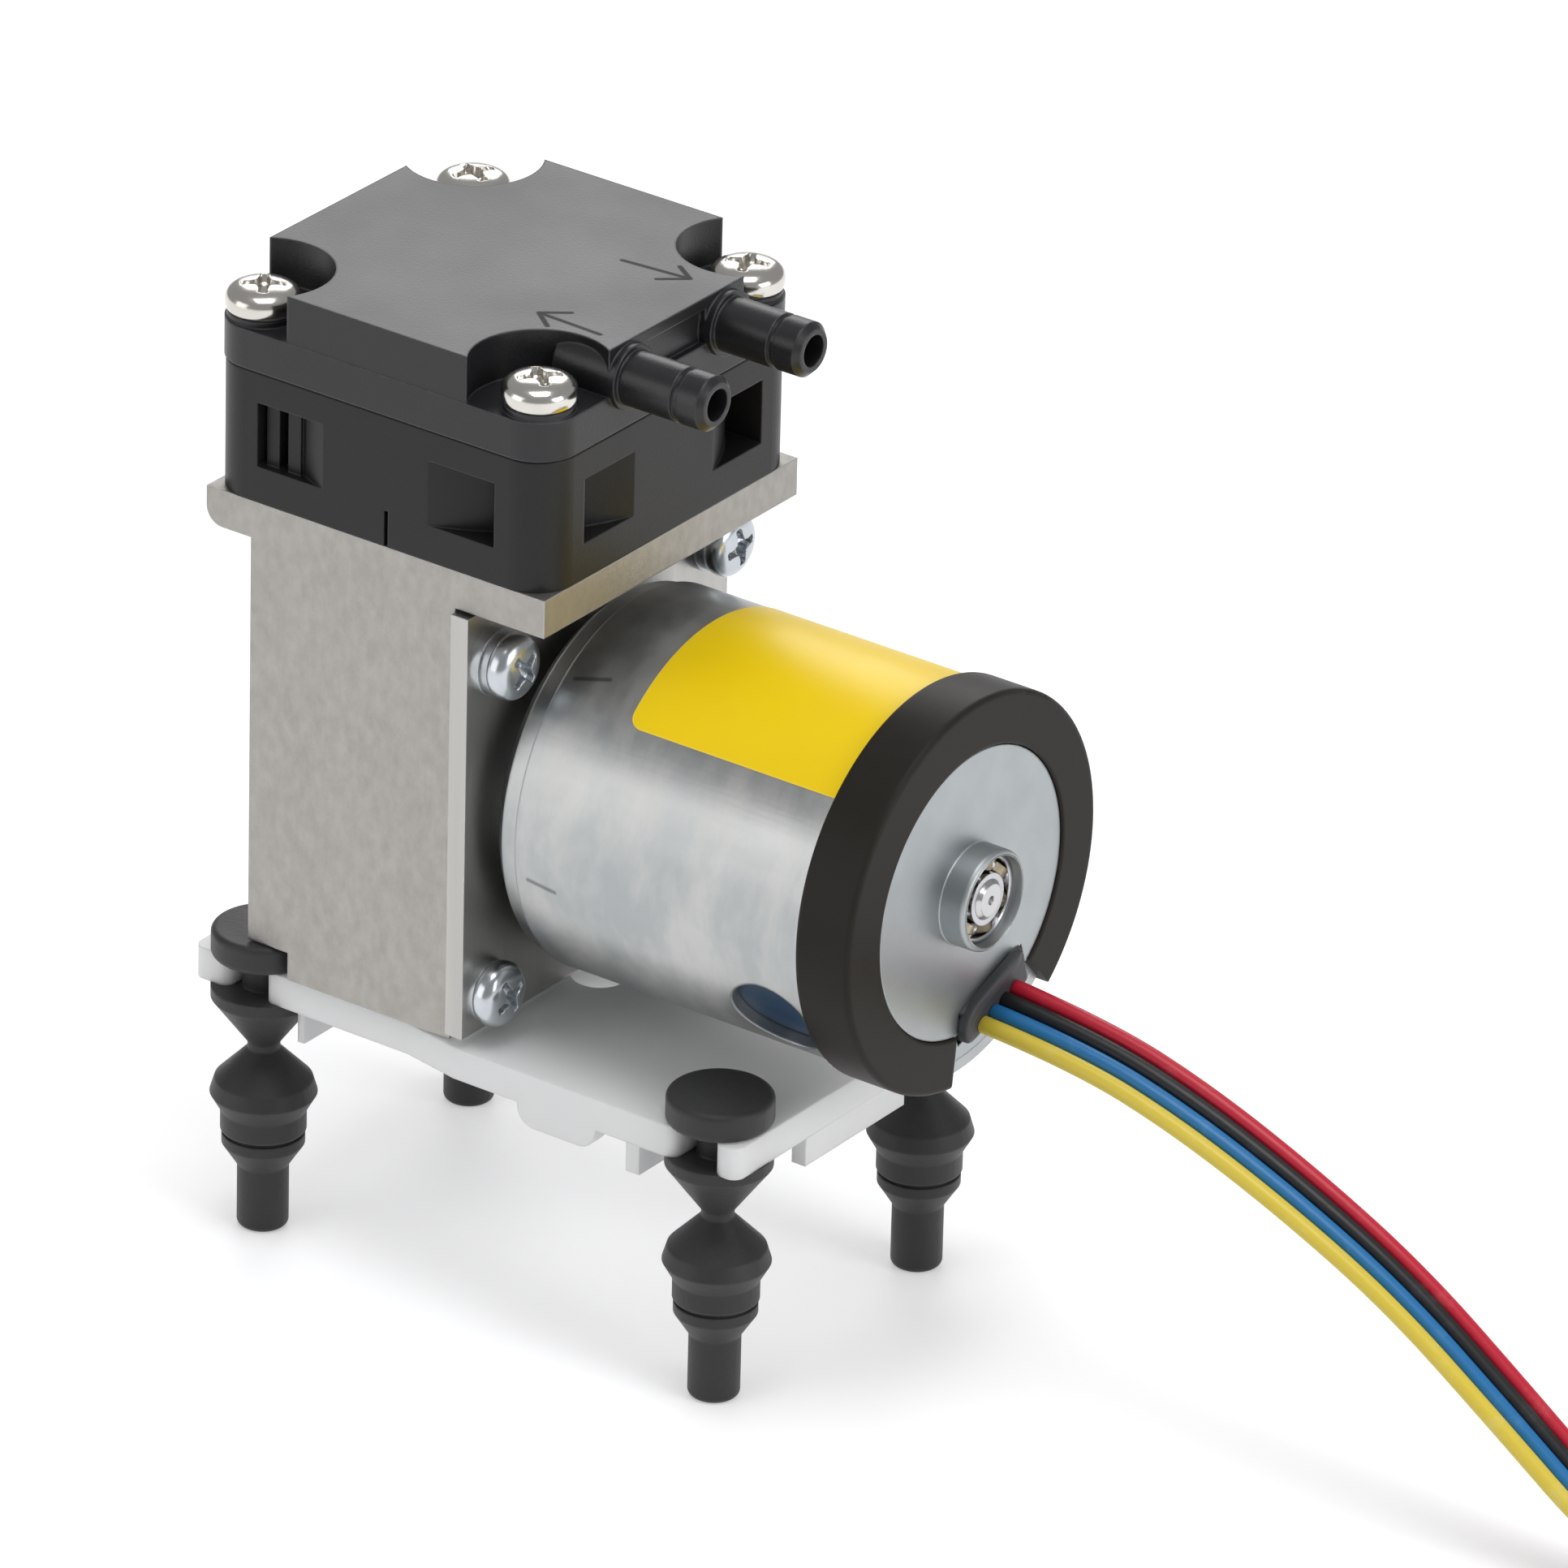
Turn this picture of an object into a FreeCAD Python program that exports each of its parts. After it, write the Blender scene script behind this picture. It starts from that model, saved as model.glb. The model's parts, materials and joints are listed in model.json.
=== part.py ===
import FreeCAD, Part
import math
import os
import re
from FreeCAD import Placement, Rotation, Vector
import Sketcher

# Small diaphragm vacuum pump: a moulded two-port head on an aluminium crank housing,
# driven by a brushless can motor, standing on a nylon plate with four rubber feet.
# The motor's axis runs along +X, away from the head, and +Z is up from the foot tips.

doc = FreeCAD.newDocument("DiaphragmPump")

# driving dimensions in millimetres and degrees
DRIVING = {
    # rubber feet, from the tip upwards
    "foot_pitch_x": 40.8,
    "foot_inset": 2.22,
    "foot_ahead": 11.5,
    "tail_radius": 1.9,
    "tail_length": 5.0,
    "tail_round": 0.5,
    "taper_length": 1.8,
    "collar_radius": 3.05,
    "collar_length": 0.8,
    "groove_radius": 2.75,
    "groove_width": 0.35,
    "band_radius": 3.15,
    "band_length": 1.55,
    "bulb_radius": 3.93,
    "bulb_rise": 1.4,
    "shoulder_radius": 3.6,
    "shoulder_length": 1.1,
    "waist_radius": 1.2,
    "waist_length": 0.5,
    "lower_cone_length": 2.5,
    "upper_cone_length": 3.7,
    "rim_radius": 3.9,
    "rim_length": 0.9,
    "neck_radius": 1.6,
    "cap_radius": 3.9,
    "cap_height": 2.2,
    "cap_round": 0.45,
    "slot_gap": 0.05,
    # nylon base plate
    "base_thick": 2.5,
    "seat_rise": 0.2,
    "seat_rear_gap": 0.15,
    "base_overhang_rear": 4.8,
    "base_overhang_front": 3.8,
    "base_inset": 0.4,
    "base_jog_start": 3.2,
    "base_jog_end": 8.0,
    "base_corner": 0.9,
    "rib_depth": 3.0,
    "rib_thick": 1.2,
    "rib_inset": 1.1,
    "rear_rib_from_foot": 3.95,
    "rim_clearance": 0.2,
    "front_rib_from_foot": 6.1,
    "end_rib_from_foot": 2.35,
    "end_rib_half_length": 6.0,
    "tab_drop": 1.7,
    "tab_length": 7.0,
    "tab_round": 1.55,
    "tab_thick": 1.4,
    "tab_from_head": 17.2,
    "drain_radius": 2.1,
    "drain_from_head": 9.4,
    "base_screw_pitch": 18.0,
    "base_screw_length": 7.0,
    # aluminium housing
    "head_width": 30.0,
    "housing_height": 34.2,
    "heel_depth": 3.6,
    "heel_gap": 0.15,
    "flange_thick": 2.9,
    "flange_round": 1.4,
    "housing_rear": 11.0,
    "housing_front": 7.2,
    "axis_rise": 16.76,
    "crank_bore_radius": 11.8,
    "crank_bore_wall": 2.4,
    "rod_slot_half_x": 6.0,
    "rod_slot_half_y": 7.5,
    # moulded head
    "head_corner": 3.2,
    "head_body_height": 10.2,
    "rim_height": 2.8,
    "window_height": 5.0,
    "drum_bulge": 0.7,
    "post_width": 4.5,
    "parting_bevel": 0.2,
    "web_thick": 1.1,
    "web_inset": 0.7,
    "web_depth": 3.0,
    "web_at": 7.7,
    "web_pitch": 1.9,
    "chamber_margin": 2.2,
    "chamber_height": 2.6,
    "head_wall": 2.4,
    "head_screw_inset": 2.8,
    "slit_width": 0.35,
    "slit_depth": 0.8,
    "slit_offset": 1.0,
    "cover_flange": 3.0,
    "cover_block": 3.6,
    "cover_proud": 0.08,
    "notch_radius": 5.1,
    "seat_boss_radius": 2.6,
    "seat_boss_rise": 0.5,
    "ledge_depth": 0.5,
    "ledge_half_width": 3.4,
    "skirt_wall": 1.5,
    "skirt_gap": 0.05,
    "divider_thick": 1.8,
    "port_pitch": 11.4,
    "port_rise": 3.9,
    "port_reach": 22.8,
    "port_radius": 2.05,
    "port_root_radius": 2.45,
    "port_root_reach": 0.6,
    "port_neck_radius": 1.85,
    "port_neck_width": 0.5,
    "port_tip_length": 2.2,
    "port_tip_bevel": 0.45,
    "port_bore_radius": 1.2,
    "port_drop_at": 7.0,
    # valves
    "valve_plate_thick": 2.4,
    "valve_plate_gap": 0.05,
    "seal_thick": 0.5,
    "flap_length": 7.0,
    "flap_width": 5.4,
    "flap_thick": 0.35,
    "flap_offset": 5.6,
    "flap_recess": 1.3,
    "flap_side_gap": 0.3,
    "bead_radius": 0.45,
    "bead_gap": 0.05,
    "valve_hole_radius": 1.6,
    # diaphragm and crank train
    "diaphragm_thick": 0.9,
    "diaphragm_clamp": 2.0,
    "dish_clearance": 0.3,
    "throw": 1.0,
    "retainer_radius": 5.4,
    "retainer_thick": 1.2,
    "retainer_bevel": 0.4,
    "retainer_screw_radius": 1.25,
    "retainer_screw_length": 8.0,
    "rod_seat_thick": 1.6,
    "rod_thick": 4.0,
    "rod_shank_width": 6.0,
    "rod_ring_wall": 1.6,
    "rod_bearing_outer": 7.0,
    "rod_bearing_inner": 4.0,
    "journal_shoulder": 0.9,
    "shoulder_lift": 0.8,
    "hub_radius": 4.6,
    "weight_radius": 10.5,
    "weight_thick": 3.4,
    "set_screw_radius": 1.25,
    # ball bearings
    "ring_wall": 0.45,
    "shield_gap": 0.06,
    "fit_gap": 0.01,
    "front_bearing_outer": 4.0,
    "front_bearing_width": 3.0,
    "rear_bearing_outer": 3.0,
    "rear_bearing_width": 2.5,
    # motor
    "plate_thick": 1.5,
    "plate_overhang": 0.5,
    "plate_lift": 0.6,
    "plate_top_gap": 0.3,
    "plate_screw_inset": 2.2,
    "plate_screw_pitch_z": 26.2,
    "flat_washer_thick": 0.8,
    "flat_washer_radius": 2.5,
    "can_radius": 14.4,
    "can_wall": 0.95,
    "can_front": 10.0,
    "can_length": 30.9,
    "can_bevel": 0.9,
    "band_recess": 0.35,
    "band_width": 1.4,
    "pad_radius": 10.0,
    "front_wall": 1.2,
    "boss_radius": 5.2,
    "boss_reach": 1.3,
    "boss_lip": 0.5,
    "boss_mouth": 2.4,
    "side_hole_radius": 3.6,
    "side_hole_from_head": 33.7,
    "side_hole_angle": -147.5,
    "shaft_radius": 1.5,
    "shaft_rear": 43.4,
    "shaft_front": -3.0,
    "shaft_bevel": 0.3,
    "cap_thick": 1.2,
    "face_radius": 10.9,
    "face_rise": 0.7,
    "rear_boss_radius": 3.8,
    "rear_boss_rise": 2.1,
    "rear_lip": 0.6,
    "cap_mouth": 2.2,
    "outlet_angle": -71.0,
    "outlet_inner": 8.4,
    "outlet_width": 8.0,
    "outlet_depth": 3.4,
    "outlet_gap": 0.1,
    "outlet_rise": 0.35,
    "ring_radius": 15.0,
    "ring_front": 37.15,
    "ring_lip": 0.9,
    "ring_lip_radius": 11.0,
    "ring_round": 0.4,
    "ring_gap_from": -97.0,
    "ring_gap_to": -48.0,
    "label_start": 19.0,
    "label_from": 42.0,
    "label_to": 135.7,
    "label_thick": 0.06,
    "stator_start": 5.0,
    "stator_length": 13.0,
    "stator_bore": 6.9,
    "stator_yoke": 1.8,
    "tooth_width": 3.6,
    "teeth": 6,
    "coil_wall": 1.4,
    "coil_height": 3.2,
    "coil_gap": 0.5,
    "insulator_wall": 1.0,
    "insulator_length": 6.0,
    "board_thick": 1.2,
    "board_hole": 3.4,
    "magnet_radius": 6.3,
    "magnet_wall": 1.8,
    # screws
    "screw_radius": 1.5,
    "screw_gap": 0.1,
    "thread_gap": 0.02,
    "head_screw_head": 2.75,
    "head_screw_rise": 2.0,
    "head_screw_length": 16.0,
    "plate_screw_radius": 1.25,
    "plate_screw_head": 2.45,
    "plate_screw_rise": 1.8,
    "plate_screw_length": 8.0,
    "washer_thick": 0.6,
    "washer_radius": 2.3,
    "washer_split": 0.5,
    "motor_screw_radius": 1.0,
    "motor_screw_head": 1.9,
    "motor_screw_at": 7.6,
    "motor_screw_length": 3.4,
    # leads
    "lead_radius": 0.65,
    "lead_pitch": 1.35,
    "lead_row_depth": 2.5,
    "lead_strip": 2.5,
    "lead_strand_radius": 0.3,
}

# places worked out from the driving dimensions
DERIVED = {
    "base_bottom": "tail_length + taper_length + collar_length + groove_width + band_length + bulb_rise"
    " + shoulder_length + lower_cone_length + waist_length + upper_cone_length + rim_length",
    "base_top": "base_bottom + base_thick",
    "seat_z": "base_top + seat_rise",
    "base_rear": "-foot_ahead - base_overhang_rear",
    "base_front": "foot_pitch_x - foot_ahead + base_overhang_front",
    "flange_bottom": "seat_z + housing_height",
    "flange_top": "flange_bottom + flange_thick",
    "axis_z": "seat_z + axis_rise",
    "head_half": "head_width / 2",
    "drum_radius": "head_half + drum_bulge",
    "head_bore_radius": "head_half - head_wall",
    "chamber_radius": "head_bore_radius - chamber_margin",
    "diaphragm_radius": "head_bore_radius",
    "plate_half_width": "head_half + plate_overhang",
    "base_half_width_motor": "plate_half_width",
    "base_half_width": "head_half - base_inset",
    "foot_pitch_y": "2 * (base_half_width - foot_inset)",
    "plate_screw_pitch_y": "2 * (head_half - plate_screw_inset)",
    "parting_z": "flange_top + head_body_height",
    "notch_z": "parting_z + cover_flange",
    "screw_seat_z": "notch_z + seat_boss_rise",
    "cover_top": "notch_z + cover_block",
    "port_z": "parting_z + port_rise",
    "ceiling_z": "flange_top + chamber_height",
    "valve_top": "ceiling_z + valve_plate_thick",
    "screw_at": "head_half - head_screw_inset",
    "plate_outer": "housing_front + plate_thick",
    "can_rear": "can_front + can_length",
    "can_inner": "can_radius - can_wall",
    "cap_front": "can_rear - cap_thick",
    "face_x": "can_rear + face_rise",
    "boss_end": "face_x + rear_boss_rise",
    "rear_bearing_x": "boss_end - rear_lip - rear_bearing_width",
    "front_bearing_x": "plate_outer - boss_reach + boss_lip",
    "pin_z": "axis_z - throw",
    "rod_top": "flange_top - diaphragm_thick - throw",
    "retainer_bottom": "rod_top + diaphragm_thick",
    "stator_x": "can_front + stator_start",
    "stator_end": "stator_x + stator_length",
    "board_x": "stator_end + coil_wall + insulator_length",
    "ring_end": "can_rear + ring_lip",
    "outlet_x": "face_x + outlet_rise",
    "model_rear": "min(base_rear; -head_half - cover_proud)",
    "origin_shift": "-(boss_end + model_rear) / 2",
}

SHEET_OF = {}


def formula(text):
    """Write the sheet's name in front of each size in text."""
    return re.sub(
        r"[a-z][a-z0-9_]*",
        lambda word: SHEET_OF.get(word[0], "") + word[0],
        text,
    )


def fill_sheet(name, cells):
    """One row for each size: its name in column A and its value in column B."""
    sheet = doc.addObject("Spreadsheet::Sheet", name)
    for row, (alias, content) in enumerate(cells.items(), 1):
        sheet.set(f"A{row}", alias)
        sheet.set(f"B{row}", "=" + formula(content) if isinstance(content, str) else str(content))
        sheet.setAlias(f"B{row}", alias)
        SHEET_OF[alias] = name + "."
    doc.recompute()
    return sheet


sizes = fill_sheet("Sizes", DRIVING)
places = fill_sheet("Places", DERIVED)


def value(text):
    """The number that a formula gives."""
    return float(places.evalExpression(formula(text)))


def bind(feature, bindings):
    """Tie each property of a feature to a formula."""
    for path, text in bindings.items():
        feature.setExpression(path, formula(text))


def put(feature, x="0", y="0", z="0", turn=None):
    """Place a feature by formulas, after turning it."""
    if turn:
        feature.Placement = Placement(Vector(), turn)
    bind(feature, {"Placement.Base.x": x, "Placement.Base.y": y, "Placement.Base.z": z})


def along_x():
    return Rotation(Vector(0, 1, 0), 90)



# helpers for bodies made of sketches


def new_body(label, x="origin_shift", y="0", z="0"):
    body = doc.addObject("PartDesign::Body", label)
    body.Label = label
    put(body, x, y, z)
    return body


def new_sketch(body, plane, name, lift="0"):
    """A sketch on one of the body's own planes, lifted along the plane's normal."""
    origin_plane = next(item for item in body.Origin.OriginFeatures if item.Role == plane)
    sketch = body.newObject("Sketcher::SketchObject", f"{body.Name}_{name}")
    sketch.AttachmentSupport = [(origin_plane, "")]
    sketch.MapMode = "FlatFace"
    bind(sketch, {"AttachmentOffset.Base.z": lift})
    return sketch


def pin_point(sketch, geometry, end, x, y):
    """Hold one point of a sketch at formulas for its two coordinates."""
    for kind, text in (("DistanceX", x), ("DistanceY", y)):
        index = sketch.addConstraint(Sketcher.Constraint(kind, -1, 1, geometry, end, value(text)))
        sketch.setExpression(f"Constraints[{index}]", formula(text))


def add_loop(sketch, corners):
    """A closed loop of straight edges through corners, each a pair of formulas."""
    points = [Vector(value(x), value(y), 0) for x, y in corners]
    first = sketch.GeometryCount
    for start, end in zip(points, points[1:] + points[:1]):
        sketch.addGeometry(Part.LineSegment(start, end), False)
    for step in range(len(points)):
        following = first + (step + 1) % len(points)
        sketch.addConstraint(Sketcher.Constraint("Coincident", first + step, 2, following, 1))
    for step, (x, y) in enumerate(corners):
        pin_point(sketch, first + step, 1, x, y)


def add_circle(sketch, radius, x="0", y="0"):
    centre = Vector(value(x), value(y), 0)
    index = sketch.addGeometry(Part.Circle(centre, Vector(0, 0, 1), value(radius)), False)
    pin_point(sketch, index, 3, x, y)
    size = sketch.addConstraint(Sketcher.Constraint("Radius", index, value(radius)))
    sketch.setExpression(f"Constraints[{size}]", formula(radius))


def arc_from(radius, first, last):
    """The arc about the sketch's origin that turns left from one point to the other."""
    circle = Part.Circle(Vector(0, 0, 0), Vector(0, 0, 1), radius)
    return Part.ArcOfCircle(circle, math.atan2(first.y, first.x), math.atan2(last.y, last.x))


def add_box(sketch, left, right, low, high):
    add_loop(sketch, [(left, low), (right, low), (right, high), (left, high)])


def pad(body, sketch, length, reverse=False, both=False):
    feature = body.newObject("PartDesign::Pad", sketch.Name + "_pad")
    feature.Profile = sketch
    feature.Midplane = both
    feature.Reversed = reverse
    bind(feature, {"Length": length})
    body.Tip = feature
    return feature


def pocket(body, sketch, length, reverse=False, both=False):
    feature = body.newObject("PartDesign::Pocket", sketch.Name + "_pocket")
    feature.Profile = sketch
    feature.Midplane = both
    feature.Reversed = reverse
    bind(feature, {"Length": length})
    body.Tip = feature
    return feature


def spin(body, sketch, axis):
    """Revolve a profile about the sketch's own horizontal or vertical axis."""
    feature = body.newObject("PartDesign::Revolution", sketch.Name + "_turn")
    feature.Profile = sketch
    feature.ReferenceAxis = (sketch, [axis])
    feature.Angle = 360
    body.Tip = feature
    return feature


def polar(body, features, count, plane_axis="Z_Axis"):
    """Repeat features evenly about one of the body's axes."""
    origin_axis = next(item for item in body.Origin.OriginFeatures if item.Role == plane_axis)
    pattern = body.newObject("PartDesign::PolarPattern", f"{features[0].Name}_ring")
    pattern.Originals = features
    pattern.Axis = (origin_axis, [""])
    pattern.Angle = 360
    bind(pattern, {"Occurrences": count})
    body.Tip = pattern
    return pattern


def round_edges(body, radius, wanted, name="round", kind="Fillet"):
    """Fillet or bevel those edges of the body's last feature that wanted picks."""
    doc.recompute()
    base = body.Tip
    names = [f"Edge{n}" for n, edge in enumerate(base.Shape.Edges, 1) if wanted(edge)]
    if not names:
        raise RuntimeError(f"{body.Label} has no edge for {name}")
    feature = body.newObject(f"PartDesign::{kind}", f"{body.Name}_{name}")
    feature.Base = (base, names)
    bind(feature, {"Radius" if kind == "Fillet" else "Size": radius})
    body.Tip = feature
    return feature


def near(first, second, within=0.01):
    return abs(first - second) < within


def upright(edge):
    """True for a straight edge along Z."""
    ends = [vertex.Point for vertex in edge.Vertexes]
    return len(ends) == 2 and near(ends[0].x, ends[1].x) and near(ends[0].y, ends[1].y)


def ring_at(edge, height, radius, axis="z"):
    """True for a round edge of that radius at that height along an axis."""
    curve = edge.Curve
    return isinstance(curve, Part.Circle) and near(curve.Radius, radius) and near(getattr(curve.Center, axis), height)


def turned(label, profile, lengthwise=False, **place):
    """A turned piece: a closed profile of (radius, height), or (length, radius) along X."""
    body = new_body(label, **place)
    sketch = new_sketch(body, "XY_Plane" if lengthwise else "XZ_Plane", "profile")
    add_loop(sketch, profile)
    spin(body, sketch, "H_Axis" if lengthwise else "V_Axis")
    return body


# helpers for pieces made of primitives


def cylinder(name, radius, length, x="0", y="0", z="0", turn=None):
    feature = doc.addObject("Part::Cylinder", name)
    bind(feature, {"Radius": radius, "Height": length})
    put(feature, x, y, z, turn)
    return feature


def cone(name, low_radius, high_radius, length, x="0", y="0", z="0", turn=None):
    feature = doc.addObject("Part::Cone", name)
    bind(feature, {"Radius1": low_radius, "Radius2": high_radius, "Height": length})
    put(feature, x, y, z, turn)
    return feature


def block(name, length, width, height, x="0", y="0", z="0", turn=None):
    feature = doc.addObject("Part::Box", name)
    bind(feature, {"Length": length, "Width": width, "Height": height})
    put(feature, x, y, z, turn)
    return feature


def cut(name, base, tool):
    feature = doc.addObject("Part::Cut", name)
    feature.Base = base
    feature.Tool = tool
    return feature


def join(name, shapes):
    feature = doc.addObject("Part::MultiFuse", name)
    feature.Shapes = shapes
    return feature


def group(label, members):
    """Several separate solids of one kind in one node."""
    feature = doc.addObject("Part::Compound", label)
    feature.Links = members
    feature.Label = label
    put(feature, "origin_shift")
    return feature


def tube(name, outer, inner, length, x="0", y="0", z="0", turn=None):
    wall = cylinder(f"{name}_outer", outer, length)
    bore = cylinder(f"{name}_bore", inner, f"{length} + 2", z="-1")
    feature = cut(name, wall, bore)
    put(feature, x, y, z, turn)
    return feature


def pan_screw(name, size, length, x, y, z, turn=None):
    """A pan-head screw whose seat is at the given point and whose shank runs down from it."""
    head = cylinder(f"{name}_head", f"{size}_head", f"{size}_rise / 2")
    crown = cone(f"{name}_crown", f"{size}_head", f"{size}_head * 0.62", f"{size}_rise / 2", z=f"{size}_rise / 2")
    shank = cylinder(f"{name}_shank", "screw_radius" if size == "head_screw" else "plate_screw_radius", length,
                     z=f"-{length}")
    feature = join(name, [head, crown, shank])
    put(feature, x, y, z, turn)
    return feature


SIDES = (("1", "1"), ("-1", "1"), ("-1", "-1"), ("1", "-1"))


# four rubber feet: tail, bulb, waist, rim below the plate, neck in its slot and cap above


def build_foot(label, x, y):
    z1 = "tail_length"
    z2 = f"{z1} + taper_length"
    z3 = f"{z2} + collar_length"
    z4 = f"{z3} + groove_width"
    z5 = f"{z4} + band_length"
    z6 = f"{z5} + bulb_rise"
    z7 = f"{z6} + shoulder_length"
    z8 = f"{z7} + lower_cone_length"
    z9 = f"{z8} + waist_length"
    z10 = f"{z9} + upper_cone_length"
    foot = turned(label, [
        ("0", "0"),
        ("tail_radius", "0"),
        ("tail_radius", z1),
        ("collar_radius", z2),
        ("collar_radius", z3),
        ("groove_radius", z3),
        ("groove_radius", z4),
        ("band_radius", z4),
        ("band_radius", z5),
        ("bulb_radius", z6),
        ("shoulder_radius", z7),
        ("waist_radius", z8),
        ("waist_radius", z9),
        ("rim_radius", z10),
        ("rim_radius", "base_bottom"),
        ("neck_radius", "base_bottom"),
        ("neck_radius", "base_top"),
        ("cap_radius", "base_top"),
        ("cap_radius", "base_top + cap_height"),
        ("0", "base_top + cap_height"),
    ], x=x, y=y)
    cap_top = value("base_top + cap_height")
    cap_low = value("base_top")
    cap_radius = value("cap_radius")
    round_edges(foot, "cap_round", lambda edge: ring_at(edge, cap_top, cap_radius)
                or ring_at(edge, cap_low, cap_radius), "cap")
    round_edges(foot, "tail_round", lambda edge: ring_at(edge, 0, value("tail_radius")), "tip")
    return foot


# base plate with an open slot for each foot's neck, ribs below and a drain hole


def build_base_plate():
    body = new_body("base_plate", z="base_bottom")
    outline = new_sketch(body, "XY_Plane", "outline")
    near_y = "base_half_width"
    far_y = "base_half_width_motor"
    add_loop(outline, [
        ("base_rear", f"-{near_y}"),
        ("base_jog_start", f"-{near_y}"),
        ("base_jog_end", f"-{far_y}"),
        ("base_front", f"-{far_y}"),
        ("base_front", far_y),
        ("base_jog_end", far_y),
        ("base_jog_start", near_y),
        ("base_rear", near_y),
    ])
    pad(body, outline, "base_thick")
    seat = new_sketch(body, "XY_Plane", "seat", lift="base_thick")
    add_box(seat, "-housing_rear + heel_depth + seat_rear_gap", "base_jog_end", f"-{near_y}", near_y)
    pad(body, seat, "seat_rise")
    slots = new_sketch(body, "XY_Plane", "slots")
    slot_ends = new_sketch(body, "XY_Plane", "slot_ends")
    half = "neck_radius + slot_gap"
    for x in ("-foot_ahead", "foot_pitch_x - foot_ahead"):
        for low, high in (("-base_half_width_motor - 1", "-foot_pitch_y / 2"),
                          ("foot_pitch_y / 2", "base_half_width_motor + 1")):
            add_box(slots, f"{x} - ({half})", f"{x} + {half}", low, high)
        for sign in ("-1", "1"):
            add_circle(slot_ends, half, x, f"{sign} * foot_pitch_y / 2")
    pocket(body, slots, "base_thick", reverse=True)
    pocket(body, slot_ends, "base_thick", reverse=True)
    drain = new_sketch(body, "XY_Plane", "drain")
    add_circle(drain, "drain_radius", "drain_from_head")
    pocket(body, drain, "base_thick + seat_rise", reverse=True)
    holes = new_sketch(body, "XY_Plane", "screw_holes")
    for sign in ("-1", "1"):
        add_circle(holes, "screw_radius + screw_gap", "(housing_front - housing_rear) / 2",
                   f"{sign} * base_screw_pitch / 2")
    pocket(body, holes, "base_thick + seat_rise", reverse=True)
    ribs = new_sketch(body, "XY_Plane", "ribs")
    rear_rib = "-foot_ahead + rear_rib_from_foot"
    front_rib = "foot_pitch_x - foot_ahead - front_rib_from_foot"
    for left, half_length in (
        (f"{rear_rib} - rib_thick / 2", "base_half_width - rib_inset"),
        (f"{front_rib} - rib_thick / 2", "base_half_width_motor - rib_inset"),
        ("foot_pitch_x - foot_ahead + end_rib_from_foot - rib_thick / 2", "end_rib_half_length"),
        ("-foot_ahead - end_rib_from_foot - rib_thick / 2", "end_rib_half_length"),
    ):
        add_box(ribs, left, f"{left} + rib_thick", f"-({half_length})", half_length)
    pad(body, ribs, "rib_depth", reverse=True)
    clearances = new_sketch(body, "XY_Plane", "rib_clearances")
    for sign in ("-1", "1"):
        add_circle(clearances, "rim_radius + rim_clearance", "-foot_ahead", f"{sign} * foot_pitch_y / 2")
    pocket(body, clearances, "rib_depth")
    tabs = new_sketch(body, "XY_Plane", "tabs")
    for inner, outer in (("-base_half_width_motor", "-base_half_width_motor + tab_thick"),
                         ("base_half_width_motor - tab_thick", "base_half_width_motor")):
        add_box(tabs, "tab_from_head - tab_length / 2", "tab_from_head + tab_length / 2", inner, outer)
    pad(body, tabs, "tab_drop", reverse=True)
    tab_ends = [value("tab_from_head - tab_length / 2"), value("tab_from_head + tab_length / 2")]

    def tab_corner(edge):
        box = edge.BoundBox
        low = near(box.ZMin, -value("tab_drop")) and near(box.ZMax, -value("tab_drop"))
        return low and box.XLength < 0.01 and any(near(box.XMin, x) for x in tab_ends)

    round_edges(body, "tab_round", tab_corner, "tabs_round")
    slot_half = value(half)
    slot_x = [value("-foot_ahead"), value("foot_pitch_x - foot_ahead")]
    widths = [value("base_half_width"), value("base_half_width_motor")]

    def finger_corner(edge):
        if not upright(edge) or not any(near(abs(edge.CenterOfMass.y), width) for width in widths):
            return False
        x = edge.CenterOfMass.x
        beside_slot = any(near(abs(x - centre), slot_half) for centre in slot_x)
        return beside_slot or near(x, value("base_rear")) or near(x, value("base_front"))

    round_edges(body, "base_corner", finger_corner, "fingers_round")
    return body


# aluminium housing: a T profile with the crank bore, the rod's slot and the diaphragm's seat


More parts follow.
